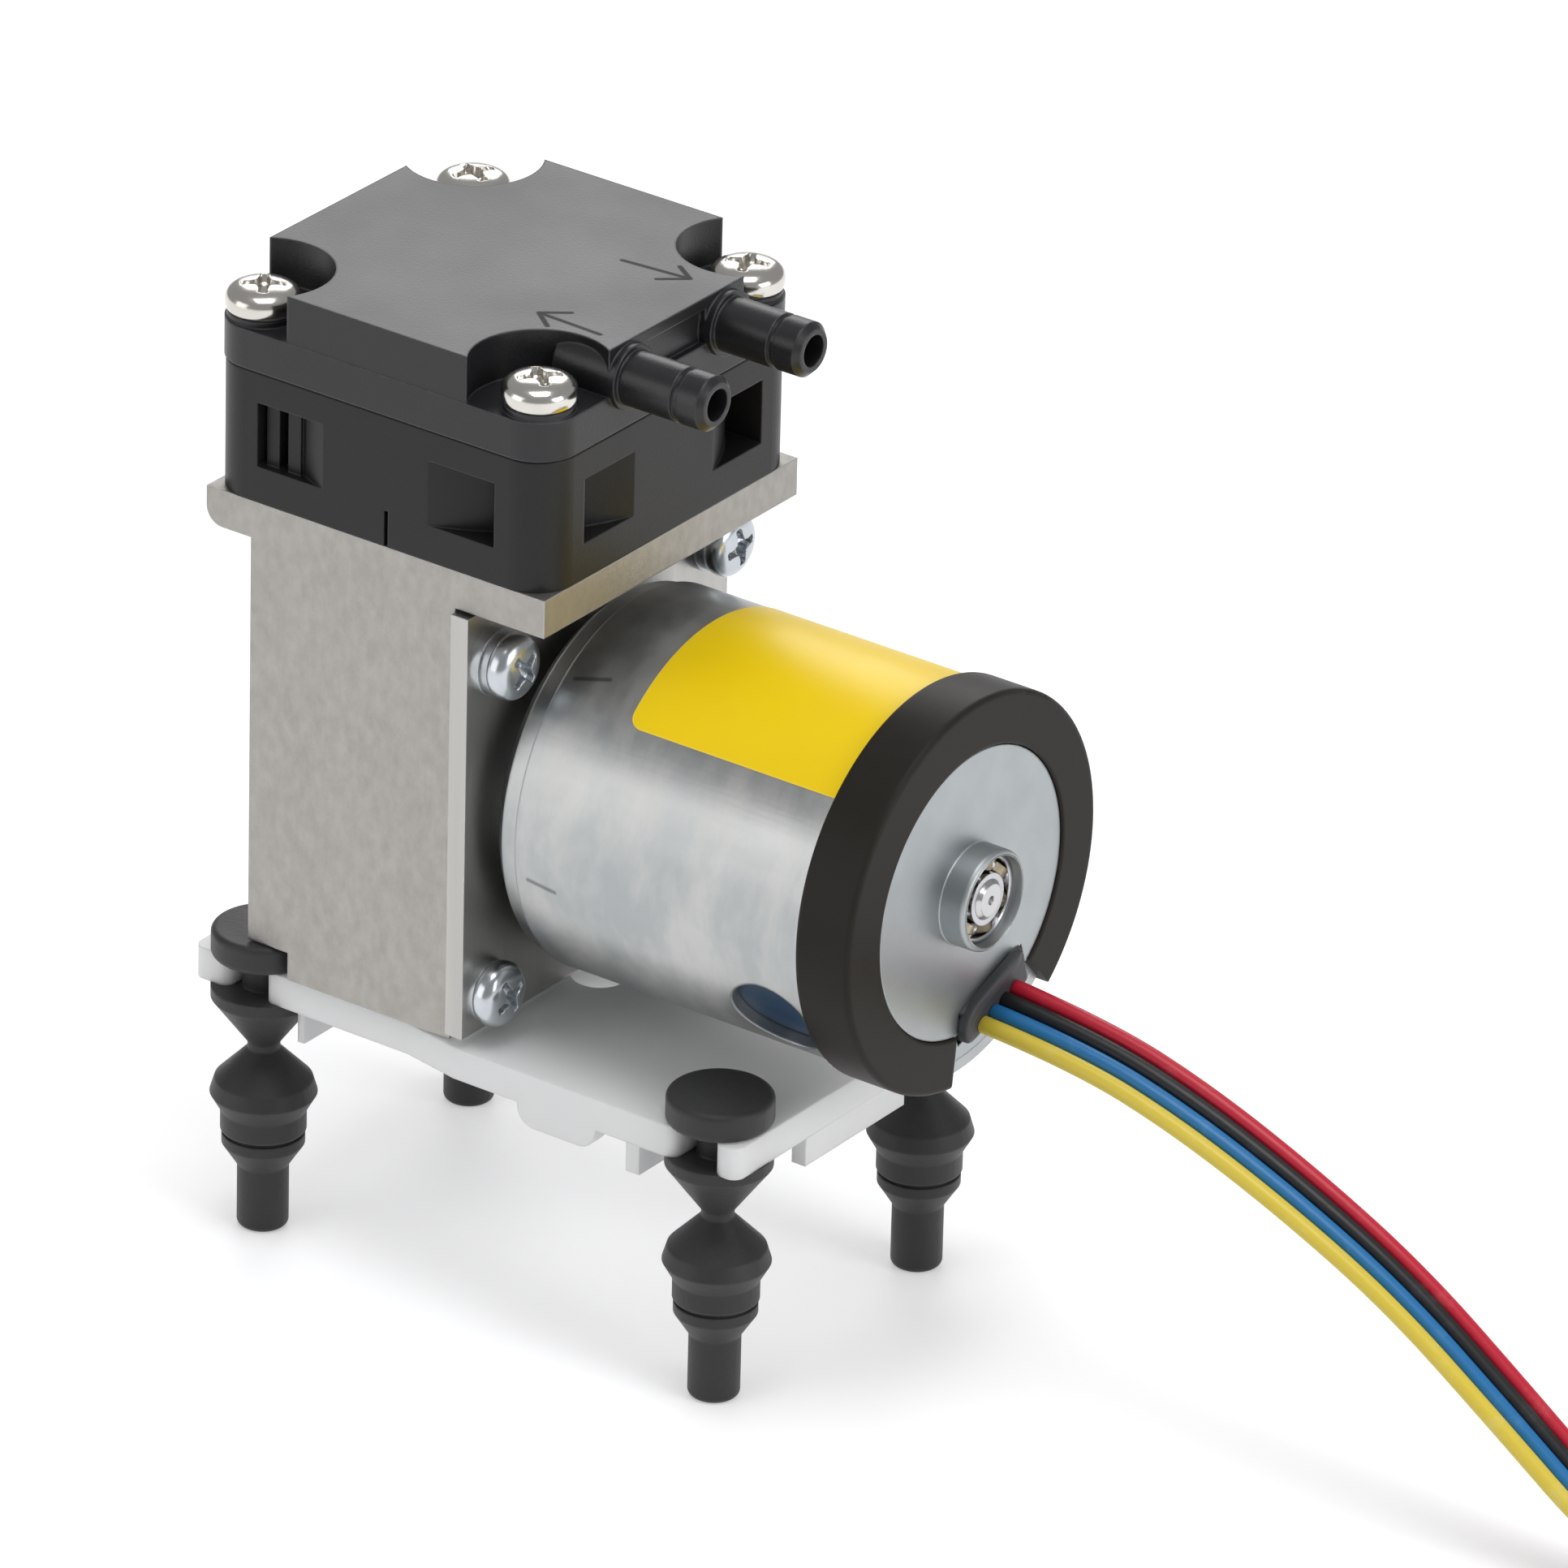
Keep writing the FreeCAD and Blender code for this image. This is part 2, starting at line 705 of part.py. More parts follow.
def build_housing():
    body = new_body("housing")
    profile = new_sketch(body, "XZ_Plane", "profile")
    add_loop(profile, [
        ("-housing_rear + heel_depth", "seat_z"),
        ("housing_front", "seat_z"),
        ("housing_front", "flange_bottom"),
        ("head_half", "flange_bottom"),
        ("head_half", "flange_top"),
        ("-head_half", "flange_top"),
        ("-head_half", "flange_bottom"),
        ("-housing_rear", "flange_bottom"),
        ("-housing_rear", "base_top + cap_height + heel_gap"),
        ("-housing_rear + heel_depth", "base_top + cap_height + heel_gap"),
    ])
    pad(body, profile, "head_width", both=True)
    round_edges(body, "flange_round", lambda edge: near(edge.BoundBox.XMax, -value("head_half"))
                and near(edge.BoundBox.ZMax, value("flange_bottom")), "flange_round")
    bore = new_sketch(body, "YZ_Plane", "crank_bore", lift="housing_front")
    add_circle(bore, "crank_bore_radius", "0", "axis_z")
    pocket(body, bore, "housing_front + housing_rear - crank_bore_wall")
    slot = new_sketch(body, "XY_Plane", "rod_slot", lift="flange_top")
    add_box(slot, "-rod_slot_half_x", "rod_slot_half_x", "-rod_slot_half_y", "rod_slot_half_y")
    pocket(body, slot, "flange_top - axis_z")
    seat = new_sketch(body, "XZ_Plane", "seat")
    floor = "rod_top - dish_clearance"
    add_loop(seat, [
        ("0", floor),
        ("retainer_radius + throw + dish_clearance", floor),
        ("diaphragm_radius - diaphragm_clamp", "flange_top - diaphragm_thick"),
        ("diaphragm_radius", "flange_top - diaphragm_thick"),
        ("diaphragm_radius", "flange_top"),
        ("0", "flange_top"),
    ])
    groove = body.newObject("PartDesign::Groove", "housing_seat_groove")
    groove.Profile = seat
    groove.ReferenceAxis = (seat, ["V_Axis"])
    groove.Angle = 360
    body.Tip = groove
    holes = new_sketch(body, "XY_Plane", "head_screw_holes", lift="flange_top")
    for side_x, side_y in SIDES:
        add_circle(holes, "screw_radius + thread_gap", f"{side_x} * screw_at", f"{side_y} * screw_at")
    pocket(body, holes, "head_screw_length - (screw_seat_z - flange_top)")
    plate_holes = new_sketch(body, "YZ_Plane", "plate_screw_holes", lift="housing_front")
    for side_y, side_z in SIDES:
        add_circle(plate_holes, "plate_screw_radius + thread_gap", f"{side_y} * plate_screw_pitch_y / 2",
                   f"axis_z + {side_z} * plate_screw_pitch_z / 2")
    pocket(body, plate_holes, "plate_screw_length - plate_thick - washer_thick")
    base_holes = new_sketch(body, "XY_Plane", "base_screw_holes", lift="seat_z")
    for sign in ("-1", "1"):
        add_circle(base_holes, "screw_radius + thread_gap", "(housing_front - housing_rear) / 2",
                   f"{sign} * base_screw_pitch / 2")
    pocket(body, base_holes, "base_screw_length - base_thick - seat_rise", reverse=True)
    return body


# moulded head body: drum, four corner posts, windows, chamber from below and bore from above


def build_head_body():
    body = new_body("head_body")
    outline = new_sketch(body, "XY_Plane", "outline", lift="flange_top")
    add_box(outline, "-head_half", "head_half", "-head_half", "head_half")
    pad(body, outline, "head_body_height")
    half = value("head_half")
    round_edges(body, "head_corner", lambda edge: upright(edge) and near(abs(edge.CenterOfMass.x), half)
                and near(abs(edge.CenterOfMass.y), half), "corners")
    parting = value("parting_z")
    round_edges(body, "parting_bevel", lambda edge: near(edge.BoundBox.ZMin, parting)
                and near(edge.BoundBox.ZMax, parting), "bevel", "Chamfer")
    windows = new_sketch(body, "XY_Plane", "windows", lift="flange_top + rim_height")
    add_window(windows, swap=False)
    add_window(windows, swap=True)
    opening = pocket(body, windows, "window_height", reverse=True)
    polar(body, [opening], "4")
    webs = new_sketch(body, "XY_Plane", "webs", lift="flange_top + rim_height")
    for middle in ("-web_at", "-web_at - web_pitch"):
        add_box(webs, f"{middle} - web_thick / 2", f"{middle} + web_thick / 2",
                "web_inset - head_half", "web_depth - head_half")
    pad(body, webs, "window_height")
    chamber = new_sketch(body, "XY_Plane", "chamber", lift="flange_top")
    add_circle(chamber, "chamber_radius")
    pocket(body, chamber, "chamber_height", reverse=True)
    bore = new_sketch(body, "XY_Plane", "bore", lift="parting_z")
    add_circle(bore, "head_bore_radius")
    pocket(body, bore, "parting_z - ceiling_z")
    holes = new_sketch(body, "XY_Plane", "screw_holes", lift="parting_z")
    for side_x, side_y in SIDES:
        add_circle(holes, "screw_radius + screw_gap", f"{side_x} * screw_at", f"{side_y} * screw_at")
    pocket(body, holes, "head_body_height")
    slit = new_sketch(body, "XY_Plane", "slit", lift="flange_top")
    add_box(slit, "slit_offset - slit_width / 2", "slit_offset + slit_width / 2",
            "-head_half - 1", "-head_half + slit_depth")
    pocket(body, slit, "rim_height", reverse=True)
    return body


def add_window(sketch, swap):
    """One window beside a corner post: an outer side, the post's side and the drum's arc."""
    flush = "sqrt(drum_radius ^ 2 - head_half ^ 2)"
    post = "head_half - post_width"
    meet = f"sqrt(drum_radius ^ 2 - ({post}) ^ 2)"
    outside = "head_half + 1"
    corners = [(flush, outside), (post, outside), (post, meet), (flush, "head_half")]
    if swap:
        corners = [(y, x) for x, y in corners]
    points = [Vector(value(x), value(y), 0) for x, y in corners]
    first = sketch.GeometryCount
    sketch.addGeometry(Part.LineSegment(points[3], points[0]), False)
    sketch.addGeometry(Part.LineSegment(points[0], points[1]), False)
    sketch.addGeometry(Part.LineSegment(points[1], points[2]), False)
    start, end = (points[3], points[2]) if swap else (points[2], points[3])
    sketch.addGeometry(arc_from(value("drum_radius"), start, end), False)
    for geometry, end, (x, y) in ((0, 1, corners[3]), (0, 2, corners[0]), (1, 2, corners[1]), (2, 2, corners[2])):
        pin_point(sketch, first + geometry, end, x, y)
    sketch.addConstraint(Sketcher.Constraint("Coincident", first, 2, first + 1, 1))
    sketch.addConstraint(Sketcher.Constraint("Coincident", first + 1, 2, first + 2, 1))
    sketch.addConstraint(Sketcher.Constraint("Coincident", first + 2, 2, first + 3, 2 if swap else 1))
    sketch.addConstraint(Sketcher.Constraint("Coincident", first, 1, first + 3, 1 if swap else 2))
    radius = sketch.addConstraint(Sketcher.Constraint("Radius", first + 3, value("drum_radius")))
    sketch.setExpression(f"Constraints[{radius}]", formula("drum_radius"))


# head cover: flange, raised block with four notches, two hose ports, skirt and divider below


def build_cover():
    body = new_body("head_cover")
    half = "head_half + cover_proud"
    outline = new_sketch(body, "XY_Plane", "flange", lift="parting_z")
    add_box(outline, f"-({half})", half, f"-({half})", half)
    pad(body, outline, "cover_flange")
    reach = value(half)
    round_edges(body, "head_corner", lambda edge: upright(edge) and near(abs(edge.CenterOfMass.x), reach)
                and near(abs(edge.CenterOfMass.y), reach), "corners")
    raised = new_sketch(body, "XY_Plane", "block", lift="notch_z")
    add_box(raised, "-head_half", "head_half", "-head_half", "head_half")
    pad(body, raised, "cover_block")
    notch = new_sketch(body, "XY_Plane", "notch", lift="cover_top")
    add_circle(notch, "notch_radius", "screw_at", "screw_at")
    notch_cut = pocket(body, notch, "cover_block")
    polar(body, [notch_cut], "4")
    ledge = new_sketch(body, "XY_Plane", "ledge", lift="cover_top - cover_block / 4")
    add_box(ledge, "head_half - ledge_depth", "head_half + 1", "-ledge_half_width", "ledge_half_width")
    pocket(body, ledge, "cover_block * 3 / 4")
    skirt = new_sketch(body, "XY_Plane", "skirt", lift="parting_z")
    outer = "head_bore_radius - skirt_gap"
    add_circle(skirt, outer)
    pad(body, skirt, "parting_z - valve_top - seal_thick", reverse=True)
    rooms = new_sketch(body, "XY_Plane", "rooms", lift="valve_top + seal_thick")
    for sign in ("1", "-1"):
        add_room(rooms, sign, f"{outer} - skirt_wall")
    pocket(body, rooms, "parting_z - valve_top - seal_thick", reverse=True)
    for name, sign in (("near", "-1"), ("far", "1")):
        side = f"{sign} * port_pitch / 2"
        add_port(body, name, side)
    bosses = new_sketch(body, "XY_Plane", "screw_seats", lift="notch_z")
    holes = new_sketch(body, "XY_Plane", "screw_holes", lift="screw_seat_z")
    for side_x, side_y in SIDES:
        add_circle(bosses, "seat_boss_radius", f"{side_x} * screw_at", f"{side_y} * screw_at")
        add_circle(holes, "screw_radius + screw_gap", f"{side_x} * screw_at", f"{side_y} * screw_at")
    pad(body, bosses, "seat_boss_rise")
    pocket(body, holes, "cover_flange + seat_boss_rise")
    return body


def add_room(sketch, sign, radius):
    """Half of the space inside the skirt, beside the divider."""
    low = f"{sign} * divider_thick / 2"
    reach = f"sqrt(({radius}) ^ 2 - (divider_thick / 2) ^ 2)"
    left = Vector(-value(reach), value(low), 0)
    right = Vector(value(reach), value(low), 0)
    first = sketch.GeometryCount
    sketch.addGeometry(Part.LineSegment(left, right), False)
    upper = sign == "1"
    start, end = (right, left) if upper else (left, right)
    sketch.addGeometry(arc_from(value(radius), start, end), False)
    pin_point(sketch, first, 1, f"-{reach}", low)
    pin_point(sketch, first, 2, reach, low)
    sketch.addConstraint(Sketcher.Constraint("Coincident", first, 2, first + 1, 1 if upper else 2))
    sketch.addConstraint(Sketcher.Constraint("Coincident", first, 1, first + 1, 2 if upper else 1))
    size = sketch.addConstraint(Sketcher.Constraint("Radius", first + 1, value(radius)))
    sketch.setExpression(f"Constraints[{size}]", formula(radius))


def add_port(body, name, side):
    """A hose port along +X with a necked tip, bored through to the room below."""
    port = new_sketch(body, "XY_Plane", f"port_{name}", lift="port_z")
    tip = "port_reach - port_tip_length"
    root = "port_drop_at + port_bore_radius + 2"
    add_loop(port, [
        (root, side),
        ("port_reach", side),
        ("port_reach", f"{side} + port_radius - port_tip_bevel"),
        ("port_reach - port_tip_bevel", f"{side} + port_radius"),
        (tip, f"{side} + port_radius"),
        (tip, f"{side} + port_neck_radius"),
        (f"{tip} - port_neck_width", f"{side} + port_neck_radius"),
        (f"{tip} - port_neck_width", f"{side} + port_radius"),
        ("head_half + port_root_reach", f"{side} + port_radius"),
        ("head_half + port_root_reach", f"{side} + port_root_radius"),
        (root, f"{side} + port_root_radius"),
    ])
    axis = port.addGeometry(Part.LineSegment(Vector(0, value(side), 0), Vector(1, value(side), 0)), True)
    pin_point(port, axis, 1, "0", side)
    pin_point(port, axis, 2, "1", side)
    turn = body.newObject("PartDesign::Revolution", f"head_cover_port_{name}_turn")
    turn.Profile = port
    turn.ReferenceAxis = (port, ["Axis0"])
    turn.Angle = 360
    body.Tip = turn
    bore = new_sketch(body, "YZ_Plane", f"bore_{name}", lift="port_reach")
    add_circle(bore, "port_bore_radius", side, "port_z")
    pocket(body, bore, "port_reach - port_drop_at")
    drop = new_sketch(body, "XY_Plane", f"drop_{name}", lift="parting_z")
    add_circle(drop, "port_bore_radius", "port_drop_at", side)
    pocket(body, drop, "port_rise", reverse=True)


# valve plate, its seal and the two flaps that swing on moulded beads


def build_valve_plate():
    body = new_body("valve_plate")
    disc = new_sketch(body, "XY_Plane", "disc", lift="ceiling_z")
    add_circle(disc, "head_bore_radius - valve_plate_gap")
    pad(body, disc, "valve_plate_thick")
    reach = "flap_width / 2 + flap_side_gap"
    hinge_x = "-flap_length / 2"
    for name, sign, lift, upward in (("intake", "-1", "ceiling_z", True), ("exhaust", "1", "valve_top", False)):
        middle = f"{sign} * flap_offset"
        recess = new_sketch(body, "XY_Plane", f"{name}_recess", lift=lift)
        add_box(recess, f"{hinge_x} + bead_radius * 0.6", "flap_length / 2 + flap_side_gap",
                f"{middle} - ({reach})", f"{middle} + {reach}")
        pocket(body, recess, "flap_recess", reverse=upward)
        hole = new_sketch(body, "XY_Plane", f"{name}_hole", lift=lift)
        add_circle(hole, "valve_hole_radius", "flap_length / 8", middle)
        pocket(body, hole, "valve_plate_thick", reverse=upward)
        bead_z = flap_centre(name)
        channel = new_sketch(body, "XZ_Plane", f"{name}_channel", lift=f"-({middle})")
        add_circle(channel, "bead_radius + bead_gap", hinge_x, bead_z)
        pocket(body, channel, f"2 * ({reach})", both=True)
    return body


def flap_centre(name):
    """Height of a flap's bead: the flap lies on its seat at the bottom of its recess."""
    if name == "intake":
        return "ceiling_z + flap_recess - flap_thick / 2"
    return "valve_top - flap_recess + flap_thick / 2"


def build_flap(name, sign):
    body = new_body(f"{name}_flap", y=f"{sign} * flap_offset", z=flap_centre(name))
    leaf = new_sketch(body, "XZ_Plane", "leaf")
    add_box(leaf, "-flap_length / 2", "flap_length / 2", "-flap_thick / 2", "flap_thick / 2")
    pad(body, leaf, "flap_width", both=True)
    bead = new_sketch(body, "XZ_Plane", "bead")
    add_circle(bead, "bead_radius", "-flap_length / 2", "0")
    pad(body, bead, "flap_width", both=True)
    return body


def build_valve_seal():
    body = new_body("valve_seal", z="valve_top")
    disc = new_sketch(body, "XY_Plane", "disc")
    add_circle(disc, "head_bore_radius - valve_plate_gap")
    pad(body, disc, "seal_thick")
    rooms = new_sketch(body, "XY_Plane", "rooms")
    for sign in ("1", "-1"):
        add_room(rooms, sign, "head_bore_radius - skirt_gap - skirt_wall")
    pocket(body, rooms, "seal_thick", reverse=True)
    return body


# diaphragm clamped by the head, with its centre one throw lower at the bottom of the stroke


def build_diaphragm():
    inner = "diaphragm_radius - diaphragm_clamp"
    return turned("diaphragm", [
        ("retainer_screw_radius + thread_gap", "rod_top"),
        ("retainer_radius", "rod_top"),
        (inner, "rod_top + throw"),
        ("diaphragm_radius - shield_gap", "rod_top + throw"),
        ("diaphragm_radius - shield_gap", "flange_top"),
        (inner, "flange_top"),
        ("retainer_radius", "retainer_bottom"),
        ("retainer_screw_radius + thread_gap", "retainer_bottom"),
    ])


def build_retainer():
    head = "retainer_screw_radius + retainer_thick * 0.8"
    top = "retainer_bottom + retainer_thick"
    return turned("diaphragm_retainer", [
        ("retainer_screw_radius + thread_gap", "retainer_bottom"),
        ("retainer_radius", "retainer_bottom"),
        ("retainer_radius", f"{top} - retainer_bevel"),
        ("retainer_radius - retainer_bevel", top),
        (f"{head} + thread_gap", top),
        ("retainer_screw_radius + thread_gap", f"{top} - retainer_thick * 0.8"),
    ])


def build_retainer_screw():
    top = "retainer_bottom + retainer_thick"
    return turned("retainer_screw", [
        ("0", f"{top} - retainer_screw_length"),
        ("retainer_screw_radius", f"{top} - retainer_screw_length"),
        ("retainer_screw_radius", f"{top} - retainer_thick * 0.8"),
        ("retainer_screw_radius + retainer_thick * 0.8", top),
        ("0", top),
    ])


# connecting rod: big-end ring round the rod bearing, shank and the seat under the diaphragm


def build_rod():
    body = new_body("connecting_rod", z="pin_z")
    ring = new_sketch(body, "YZ_Plane", "ring")
    add_circle(ring, "rod_bearing_outer + rod_ring_wall")
    pad(body, ring, "rod_thick", both=True)
    shank = new_sketch(body, "YZ_Plane", "shank")
    height = "rod_top - pin_z"
    add_box(shank, "-rod_shank_width / 2", "rod_shank_width / 2", "rod_bearing_outer",
            f"{height} - rod_seat_thick / 2")
    pad(body, shank, "rod_thick", both=True)
    seat = new_sketch(body, "XY_Plane", "seat", lift=height)
    add_circle(seat, "retainer_radius")
    pad(body, seat, "rod_seat_thick", reverse=True)
    bore = new_sketch(body, "YZ_Plane", "bore")
    add_circle(bore, "rod_bearing_outer + fit_gap")
    pocket(body, bore, "rod_thick", both=True)
    tapped = new_sketch(body, "XY_Plane", "tapped", lift=height)
    add_circle(tapped, "retainer_screw_radius + thread_gap")
    pocket(body, tapped, "retainer_screw_length - retainer_thick - diaphragm_thick")
    return body


# eccentric on the motor shaft: offset journal, its shoulder, and a counterweight opposite


def build_eccentric():
    body = new_body("eccentric", z="axis_z")
    journal = new_sketch(body, "YZ_Plane", "journal", lift="-rod_thick / 2")
    add_circle(journal, "rod_bearing_inner", "0", "-throw")
    pad(body, journal, "rod_thick + shield_gap")
    shoulder = new_sketch(body, "YZ_Plane", "shoulder", lift="rod_thick / 2 + shield_gap")
    add_circle(shoulder, "rod_bearing_inner + shoulder_lift", "0", "-throw")
    pad(body, shoulder, "journal_shoulder")
    weight = new_sketch(body, "YZ_Plane", "weight", lift="rod_thick / 2 + shield_gap + journal_shoulder")
    add_circle(weight, "weight_radius")
    pad(body, weight, "weight_thick")
    lower = new_sketch(body, "YZ_Plane", "lower_half", lift="rod_thick / 2 + shield_gap + journal_shoulder")
    add_box(lower, "-weight_radius - 1", "weight_radius + 1", "-weight_radius - 1", "0")
    pocket(body, lower, "weight_thick", reverse=True)
    hub = new_sketch(body, "YZ_Plane", "hub", lift="rod_thick / 2 + shield_gap + journal_shoulder")
    add_circle(hub, "hub_radius")
    pad(body, hub, "weight_thick")
    bore = new_sketch(body, "YZ_Plane", "bore", lift="-rod_thick / 2")
    add_circle(bore, "shaft_radius + fit_gap")
    pocket(body, bore, "rod_thick + shield_gap + journal_shoulder + weight_thick", reverse=True)
    screw_hole = new_sketch(body, "XY_Plane", "screw_hole")
    add_circle(screw_hole, "set_screw_radius + thread_gap",
               "rod_thick / 2 + shield_gap + journal_shoulder + weight_thick / 2", "0")
    pocket(body, screw_hole, "hub_radius + 1")
    return body


def build_set_screw():
    screw = cylinder("set_screw", "set_screw_radius", "hub_radius - shaft_radius - fit_gap - 0.1",
                     "origin_shift + rod_thick / 2 + shield_gap + journal_shoulder + weight_thick / 2",
                     "0", "axis_z - hub_radius + 0.05")
    screw.Label = "set_screw"
    return screw


# ball bearings: each an outer ring with shields and an inner ring that turns with its shaft


def build_bearing(name, inner, outer, start, width, z="axis_z"):
    split = f"({inner} + ring_wall)"
    outer_ring = turned(f"{name}_outer", [
        (start, f"{outer} - ring_wall"),
        (start, outer),
        (f"{start} + {width}", outer),
        (f"{start} + {width}", f"{outer} - ring_wall"),
        (f"{start} + {width} - ring_wall / 2", f"{outer} - ring_wall"),
        (f"{start} + {width} - ring_wall / 2", f"{split} + shield_gap"),
        (f"{start} + ring_wall / 2", f"{split} + shield_gap"),
        (f"{start} + ring_wall / 2", f"{outer} - ring_wall"),
    ], lengthwise=True, z=z)
    inner_ring = turned(f"{name}_inner", [
        (start, f"{inner} + fit_gap"),
        (start, split),
        (f"{start} + {width}", split),
        (f"{start} + {width}", f"{inner} + fit_gap"),
    ], lengthwise=True, z=z)
    return [outer_ring, inner_ring]


# motor: can with its front boss, rear cap, end ring, rotor and stator


def build_can():
    body = turned("motor_can", [
        ("plate_outer - boss_reach", "boss_mouth"),
        ("plate_outer - boss_reach", "boss_radius"),
        ("plate_outer", "boss_radius"),
        ("plate_outer", "pad_radius"),
        ("can_front", "pad_radius"),
        ("can_front", "can_radius - band_recess - can_bevel"),
        ("can_front + can_bevel", "can_radius - band_recess"),
        ("can_front + can_bevel + band_width", "can_radius - band_recess"),
        ("can_front + can_bevel + band_width", "can_radius"),
        ("can_rear", "can_radius"),
        ("can_rear", "can_inner"),
        ("can_front + front_wall", "can_inner"),
        ("can_front + front_wall", "front_bearing_outer + fit_gap"),
        ("front_bearing_x", "front_bearing_outer + fit_gap"),
        ("front_bearing_x", "boss_mouth"),
    ], lengthwise=True, z="axis_z")
    hole = new_sketch(body, "XY_Plane", "side_hole")
    hole.AttachmentOffset = Placement(Vector(), Rotation(Vector(1, 0, 0), value("side_hole_angle - 90")))
    add_circle(hole, "side_hole_radius", "side_hole_from_head", "0")
    pocket(body, hole, "can_radius + 1", reverse=True)
    holes = new_sketch(body, "YZ_Plane", "screw_holes", lift="plate_outer")
    for sign in ("-1", "1"):
        add_circle(holes, "motor_screw_radius + thread_gap", f"{sign} * motor_screw_at", "0")
    pocket(body, holes, "can_front + front_wall - plate_outer", reverse=True)
    return body


def build_end_cap():
    body = turned("motor_end_cap", [
        ("cap_front", "cap_mouth"),
        ("cap_front", "can_inner - fit_gap"),
        ("can_rear", "can_inner - fit_gap"),
        ("can_rear", "face_radius"),
        ("face_x", "face_radius"),
        ("face_x", "rear_boss_radius"),
        ("boss_end", "rear_boss_radius"),
        ("boss_end", "rear_bearing_outer + fit_gap"),
        ("rear_bearing_x", "rear_bearing_outer + fit_gap"),
        ("rear_bearing_x", "cap_mouth"),
    ], lengthwise=True, z="axis_z")
    window = new_sketch(body, "YZ_Plane", "lead_window", lift="face_x")
    window.AttachmentOffset = Placement(Vector(), Rotation(Vector(0, 0, 1), value("outlet_angle")))
    bind(window, {"AttachmentOffset.Base.z": "face_x"})
    add_box(window, "outlet_inner", "outlet_inner + outlet_depth", "-outlet_width / 2", "outlet_width / 2")
    pocket(body, window, "face_rise + cap_thick")
    rim = value("rear_boss_radius")
    face = value("boss_end")
    round_edges(body, "ring_round", lambda edge: ring_at(edge, face, rim, "x"), "boss_round")
    return body


def build_wire_outlet():
    """Moulded block in the cap's window, through which the four leads come out."""
    body = new_body("wire_outlet", z="axis_z")
    plug = new_sketch(body, "YZ_Plane", "plug")
    plug.AttachmentOffset = Placement(Vector(), Rotation(Vector(0, 0, 1), value("outlet_angle")))
    bind(plug, {"AttachmentOffset.Base.z": "cap_front"})
    add_box(plug, "outlet_inner + outlet_gap", "outlet_inner + outlet_depth - outlet_gap",
            "-outlet_width / 2 + outlet_gap", "outlet_width / 2 - outlet_gap")
    pad(body, plug, "outlet_x - cap_front")
    return body


def build_end_ring():
    """Band over the can's rear edge, open at the bottom where the leads leave."""
    body = turned("motor_end_ring", [
        ("ring_front", "can_radius + fit_gap"),
        ("ring_front", "ring_radius"),
        ("ring_end", "ring_radius"),
        ("ring_end", "ring_lip_radius"),
        ("can_rear", "ring_lip_radius"),
        ("can_rear", "can_radius + fit_gap"),
    ], lengthwise=True, z="axis_z")
    radius = value("ring_radius")
    ends = [value("ring_front"), value("ring_end")]
    round_edges(body, "ring_round", lambda edge: any(ring_at(edge, end, radius, "x") for end in ends), "rim_round")
    lip = value("ring_lip_radius")
    round_edges(body, "ring_round / 2", lambda edge: ring_at(edge, ends[1], lip, "x"), "lip_round")
    gap = new_sketch(body, "YZ_Plane", "gap", lift="ring_end")
    reach = "ring_radius * 1.5"
    add_loop(gap, [
        ("0", "0"),
        (f"{reach} * cos(ring_gap_from)", f"{reach} * sin(ring_gap_from)"),
        (f"{reach} * cos(ring_gap_to)", f"{reach} * sin(ring_gap_to)"),
    ])
    pocket(body, gap, "ring_end - ring_front")
    return body


def build_label():
    """Thin sticker wrapped round the upper side of the can, up to the end ring."""
    length = "ring_front - label_start - shield_gap"
    sector = cylinder("label_sector", "can_radius + label_thick + fit_gap", length)
    bind(sector, {"Angle": "label_to - label_from"})
    core = cylinder("label_core", "can_radius + fit_gap", f"{length} + 2", z="-1")
    sticker = cut("motor_label", sector, core)
    sticker.Label = "motor_label"
    turn = along_x().multiply(Rotation(Vector(0, 0, 1), value("label_from") + 90))
    put(sticker, "origin_shift + label_start", "0", "axis_z", turn)
    return sticker


def build_stator():
    body = new_body("stator_core", z="axis_z")
    yoke = new_sketch(body, "YZ_Plane", "yoke", lift="stator_x")
    add_circle(yoke, "can_inner - fit_gap")
    add_circle(yoke, "can_inner - stator_yoke")
    pad(body, yoke, "stator_length")
    tooth = new_sketch(body, "YZ_Plane", "tooth", lift="stator_x")
    add_box(tooth, "-tooth_width / 2", "tooth_width / 2", "stator_bore", "can_inner - stator_yoke / 2")
    arm = pad(body, tooth, "stator_length")
    polar(body, [arm], "teeth", "X_Axis")
    bore = new_sketch(body, "YZ_Plane", "bore", lift="stator_x")
    add_circle(bore, "stator_bore + fit_gap")
    pocket(body, bore, "stator_length", reverse=True)
    return body


def build_windings():
    """One coil round each tooth."""
    coils = []
    for number in range(int(value("teeth"))):
        name = f"coil_{number + 1}"
        low = "can_inner - stator_yoke - coil_gap - coil_height"
        outer = block(f"{name}_outer", "stator_length + 2 * coil_wall", "tooth_width + 2 * coil_wall", "coil_height",
                      "stator_x - coil_wall", "-tooth_width / 2 - coil_wall", low)
        inner = block(f"{name}_inner", "stator_length + 2 * fit_gap", "tooth_width + 2 * fit_gap", "coil_height + 2",
                      "stator_x - fit_gap", "-tooth_width / 2 - fit_gap", f"{low} - 1")
        coil = cut(name, outer, inner)
        angle = 360 * number / value("teeth")
        put(coil, "0", "0", "axis_z", Rotation(Vector(1, 0, 0), angle))
        coils.append(coil)
    return group("windings", coils)


def build_insulator():
    sleeve = tube("stator_insulator", "can_inner - fit_gap", "can_inner - insulator_wall",
                  "board_x - stator_end", "origin_shift + stator_end", "0", "axis_z", along_x())
    sleeve.Label = "stator_insulator"
    return sleeve


